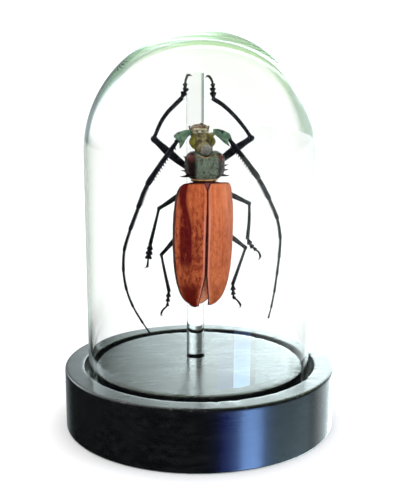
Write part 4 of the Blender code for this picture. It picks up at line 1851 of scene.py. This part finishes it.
LEGS = (
    Leg("front_left", (-4.8, 5.4, 4.4), (-20.9, 2.0, 18.6),
        ((-18.2, 1.4, 25.3), (-15.5, 0.8, 29.7), (-12.7, 0.5, 32.8), (-9.3, 0.2, 36.2)),
        ((-8.5, 0.0, 37.9), (-7.5, 0.0, 40.1), (-7.7, 0.0, 42.3), (-7.2, 0.0, 44.9),
         (-6.3, 0.0, 46.5), (-4.7, 0.0, 46.1)), 1.65, (0.80, 1.0)),
    Leg("front_right", (5.0, 5.4, 4.8), (21.9, 2.0, 18.4),
        ((19.0, 1.6, 22.7), (14.4, 1.0, 28.2), (9.2, 0.5, 33.1), (4.6, 0.2, 36.1)),
        ((4.4, 0.0, 38.0), (4.2, 0.0, 40.0), (4.3, 0.0, 42.0), (3.7, 0.0, 44.4),
         (2.3, 0.0, 46.1), (0.9, 0.0, 45.6)), 1.65, (0.80, 1.0)),
    Leg("middle_left", (-5.2, 6.2, -3.4), (-18.6, 4.4, -12.1),
        ((-20.5, 4.2, -19.6), (-22.5, 4.1, -27.2)),
        ((-23.0, 4.0, -30.5), (-23.6, 4.0, -34.2), (-24.1, 4.0, -37.7), (-25.3, 4.0, -38.3)),
        1.0, (0.55, 0.85), pad_sizes=(1.2, 1.35, 1.3), claw_splay=0.85),
    Leg("middle_right", (5.4, 6.2, -3.8), (22.0, 4.4, -11.1),
        ((22.0, 4.2, -18.6), (21.3, 4.1, -26.6)),
        ((22.7, 4.0, -29.7), (24.6, 4.0, -31.6), (26.6, 4.0, -33.3), (27.3, 4.0, -35.6),
         (26.2, 4.0, -37.0)), 1.05, (0.6, 0.88)),
    Leg("hind_left", (-5.6, 6.2, -19.0), (-17.7, 4.4, -32.6),
        ((-16.4, 4.2, -39.8), (-14.5, 4.1, -48.9)),
        ((-15.1, 4.0, -54.0), (-15.4, 4.0, -55.8), (-17.2, 4.0, -57.4), (-18.1, 4.0, -59.5),
         (-17.4, 4.0, -60.7)), 0.95, (0.52, 0.8)),
    Leg("hind_right", (5.6, 6.2, -20.4), (20.5, 4.4, -31.0),
        ((18.2, 4.2, -37.4), (14.7, 4.1, -47.2)),
        ((14.9, 4.0, -51.9), (15.2, 4.0, -53.6), (17.0, 4.0, -55.2), (18.4, 4.0, -57.6),
         (17.4, 4.0, -58.8)), 1.0, (0.58, 0.85)),
)


@dataclass
class Softbox:
    """One flat studio light, aimed at a point."""

    name: str
    azimuth: float
    elevation: float
    distance: float
    width: float
    height: float
    power: float
    colour: Colour
    target: Vector = field(default_factory=lambda: Vector((0.0, 0.0, 0.09)))

    def place(self) -> None:
        """Hangs the light. Its azimuth is 0 in front of the object and 90 at its right."""
        turn, rise = math.radians(self.azimuth), math.radians(self.elevation)
        flat = math.cos(rise)
        away = Vector((math.sin(turn) * flat, -math.cos(turn) * flat, math.sin(rise)))
        lamp = bpy.data.lights.new(self.name, "AREA")
        lamp.shape = "RECTANGLE"
        lamp.size, lamp.size_y = self.width, self.height
        lamp.energy = self.power
        lamp.color = self.colour
        stand = put_in_scene(self.name, lamp, *LAMP_HIDDEN_FROM)
        stand.location = self.target + away * self.distance
        stand.rotation_euler = away.to_track_quat("Z", "Y").to_euler()


@dataclass
class MirrorCard:
    """A glowing card that shows only in mirrors, fading out upwards."""

    name: str
    azimuth: float
    width: float
    glow: Colour
    strength: float
    distance: float = 0.9
    low: float = -0.75
    high: float = -0.20
    fade: float = 0.12

    def place(self) -> None:
        """Stands the card up, facing the object."""
        turn = math.radians(self.azimuth)
        away = Vector((math.sin(turn), -math.cos(turn), 0.0))
        middle = away * self.distance + UPWARD * (self.low + self.high) / 2
        work = bmesh.new()
        size = Matrix.Diagonal((self.width / 2, (self.high - self.low) / 2, 1.0, 1.0))
        aim = (-away).to_track_quat("Z", "Y").to_matrix().to_4x4()
        bmesh.ops.create_grid(work, x_segments=1, y_segments=1, size=1.0,
                              matrix=Matrix.Translation(middle) @ aim @ size)
        recipe = Recipe(self.name)
        height = recipe.call("SeparateXYZ", "Z", {"Vector": recipe.object_place})
        fade = recipe.span(height, self.high - self.fade, self.high, self.strength, 0.0)
        recipe.set(Base_Color=NO_LIGHT, Emission_Color=self.glow, Emission_Strength=fade,
                   Specular_IOR_Level=0.0)
        mesh = mesh_of(work, self.name, recipe.material)
        put_in_scene(self.name, mesh, "camera", "diffuse", "transmission", "shadow")


@dataclass
class Sky:
    """Even soft light all round. Mirrors see it bright only in a panel behind the object."""

    even: Colour = (1.0, 1.0, 1.0)
    backdrop: Colour = (1.24, 1.24, 1.24)
    mirror_tint: Colour = (0.85, 0.99, 1.03)
    wall: float = 0.38
    panel: float = 4.2
    front: float = 0.012
    depth_range: Pair = (0.0, 0.55)
    panel_left: Pair = (0.0, 0.34)
    panel_right: Pair = (0.55, 0.80)
    panel_top: Pair = (0.36, 0.45)
    # Painted reflection: the grey that rays see only after crossing the rod, which draws its edges.
    rod_edge_paint: Colour = (0.46, 0.50, 0.47)
    rod_edge_paint_range: Pair = (-0.55, -0.20)
    # Painted reflection: the green band that mirrored rays see high at the back, which makes the
    # dome's green crown.
    crown_light: Colour = (0.66, 0.84, 0.52)
    crown_left: Colour = (1.10, 1.08, 1.08)
    crown_split: Pair = (-0.16, 0.16)
    crown_range: Pair = (0.42, 0.50)
    crown_back: Pair = (-0.25, 0.05)
    left_wall: float = 2.4
    left_range: Pair = (-0.50, -0.34)
    left_up: Pair = (0.02, 0.14)
    horizon: Pair = (-0.05, 0.05)
    right_wall: float = 0.9
    right_range: Pair = (0.60, 0.80)
    low_left: Pair = (-0.45, -0.15)
    # Painted reflection: the green that rays see only after crossing the dome, which draws its
    # edge.
    dome_edge_paint: Colour = (0.44, 0.60, 0.44)
    edge_range: Pair = (0.36, 0.48)
    edge_up: Pair = (-0.14, -0.02)
    edge_back: Pair = (0.50, 0.64)
    dome_crossings: float = 4.0

    def build(self) -> None:
        """Wraps the studio in this light."""
        world = bpy.data.worlds.new("soft_sky")
        world.use_nodes = True
        world.cycles.sampling_method = "NONE"
        bpy.context.scene.world = world
        sky = Graph(world.node_tree)
        place = sky.node("TexCoord").outputs["Generated"]
        axes = sky.call("SeparateXYZ", "X", {"Vector": place}).node.outputs
        right, back, up = (axes[axis] for axis in "XYZ")
        low = sky.span(up, *self.horizon, 1.0, 0.0)
        panel = sky.times(sky.span(right, *self.panel_left, 0.0, self.panel),
                          sky.span(right, *self.panel_right, 1.0, 0.0),
                          sky.span(up, *self.panel_top, 1.0, 0.0))
        left = sky.times(sky.span(right, *self.left_range, self.left_wall, 0.0),
                         sky.span(up, *self.left_up, 0.0, 1.0))
        right_side = sky.times(low, sky.span(right, *self.right_range, 0.0, self.right_wall))
        dark = sky.times(low, sky.span(right, *self.low_left, 1.0, 0.0))
        level = sky.times(sky.maths("ADD", panel, self.wall, left, right_side),
                          sky.maths("SUBTRACT", 1.0, dark),
                          sky.span(back, *self.depth_range, 0.0, 1.0))
        level = sky.maths("ADD", level, self.front)
        mirror = sky.call("VectorMath", "Vector", {0: self.mirror_tint, "Scale": level},
                          operation="SCALE")
        ray = sky.node("LightPath").outputs
        crossed = ray["Transmission Depth"]
        # Painted reflection: rays that crossed the rod and head left see the grey.
        in_rod = sky.times(sky.span(right, *self.rod_edge_paint_range, 1.0, 0.0),
                           sky.maths("SUBTRACT", crossed, self.dome_crossings))
        outside_rod = sky.maths("SUBTRACT", self.dome_crossings + 1.0, crossed)
        # Painted reflection: rays that crossed the dome and head back to the right see the green.
        at_edge = sky.times(sky.span(right, *self.edge_range), sky.span(up, *self.edge_up),
                            sky.span(back, *self.edge_back),
                            sky.most(outside_rod, 0.0), crossed)
        seen = sky.blend(at_edge, self.backdrop, self.dome_edge_paint)
        seen = sky.blend(in_rod, seen, self.rod_edge_paint)
        seen = sky.blend(ray["Is Diffuse Ray"], seen, self.even)
        # Painted reflection: mirrored rays high at the back see a green band, white to the left.
        crown = sky.times(sky.span(up, *self.crown_range), sky.span(back, *self.crown_back))
        crown_light = sky.blend(sky.span(right, *self.crown_split), self.crown_left,
                                self.crown_light)
        mirrored = sky.blend(crown, mirror, crown_light)
        sky.feed(sky.tree.nodes["Background"].inputs["Color"],
                 sky.blend(ray["Glossy Depth"], seen, mirrored))


@dataclass
class Studio:
    """Floor, sky light, softboxes and camera."""

    floor_half: float = 6.0
    camera_distance: float = 0.3897
    camera_height: float = 0.15683
    camera_azimuth: float = -12.0
    camera_pitch: float = 11.44
    lens: float = 64.93
    shift: float = 0.00652
    sensor: float = 36.0
    nearest: float = 0.01
    skylight: float = 1.0
    skylight_spread: float = 60.0
    skylight_turn: Triple = (-14.0, 10.0, 0.0)
    bounces: int = 80
    clear_bounces: int = 72
    mirror_bounces: int = 48
    brightest_bounce: float = 6.0
    lights: tuple[Softbox, ...] = (
        Softbox("window_light", 60.0, 20.0, 1.0, 0.40, 0.60, 3.0, (0.62, 0.76, 1.0)),
        Softbox("overhead", 0.0, 80.0, 1.4, 1.0, 1.0, 2.0, (1.0, 0.99, 0.97)),
        Softbox("front_fill", -30.0, 30.0, 1.2, 0.5, 0.5, 2.0, (1.0, 0.97, 0.94)),
    )
    cards: tuple[MirrorCard, ...] = (
        MirrorCard("window_card", 30.0, 0.30, (0.26, 0.48, 1.0), 14.0),
        MirrorCard("deep_card", 14.0, 0.26, (0.05, 0.09, 1.0), 1.4),
        MirrorCard("side_card", 68.0, 0.75, (0.42, 0.62, 0.72), 1.6),
    )

    def build(self) -> None:
        """Sets up the whole studio."""
        self._floor()
        Sky().build()
        for stand in (*self.cards, *self.lights):
            stand.place()
        self._skylight()
        self._camera()
        bpy.context.scene.view_settings.view_transform = "Standard"
        light_paths = bpy.context.scene.cycles
        light_paths.use_denoising = True
        light_paths.max_bounces = self.bounces
        light_paths.transmission_bounces = self.clear_bounces
        light_paths.glossy_bounces = self.mirror_bounces
        light_paths.sample_clamp_indirect = self.brightest_bounce

    def _floor(self) -> None:
        """Lays the pale floor."""
        work = bmesh.new()
        bmesh.ops.create_grid(work, x_segments=8, y_segments=8, size=self.floor_half)
        mesh = mesh_of(work, "floor", FloorPaper().make())
        put_in_scene("floor", mesh, "glossy")

    def _skylight(self) -> None:
        """A wide soft light from straight above, which whitens the floor."""
        lamp = bpy.data.lights.new("skylight", "SUN")
        lamp.energy = self.skylight
        lamp.angle = math.radians(self.skylight_spread)
        stand = put_in_scene("skylight", lamp, *LAMP_HIDDEN_FROM)
        stand.rotation_euler = [math.radians(angle) for angle in self.skylight_turn]

    def _camera(self) -> None:
        """Stands the camera a little to the left, looking down on the dome."""
        turn = math.radians(self.camera_azimuth)
        eye = Vector((math.sin(turn), -math.cos(turn), 0.0)) * self.camera_distance
        lens = bpy.data.cameras.new("camera")
        lens.sensor_width = self.sensor
        lens.lens = self.lens
        lens.shift_x = self.shift
        lens.clip_start = self.nearest
        camera = put_in_scene("camera", lens)
        camera.location = (eye.x, eye.y, self.camera_height)
        camera.rotation_euler = (math.radians(90.0 - self.camera_pitch), 0.0, turn)
        bpy.context.scene.camera = camera


def main() -> None:
    """Builds the studio and every piece."""
    logging.basicConfig(level=logging.INFO, format="%(name)s %(message)s")
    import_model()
    Studio().build()
    TurnedBase().build()
    BlownDome().build()
    ClearRod().build()
    plan = BodyPlan()
    WingCases(plan).build()
    Trunk(plan).build()
    NeckShield().build()
    Head().build()
    Scutellum().build()
    for side in Side:
        Antenna(side, SCAPES[side], HORNS[side]).build()
    for leg in LEGS:
        leg.build()


if __name__ == "__main__":
    main()
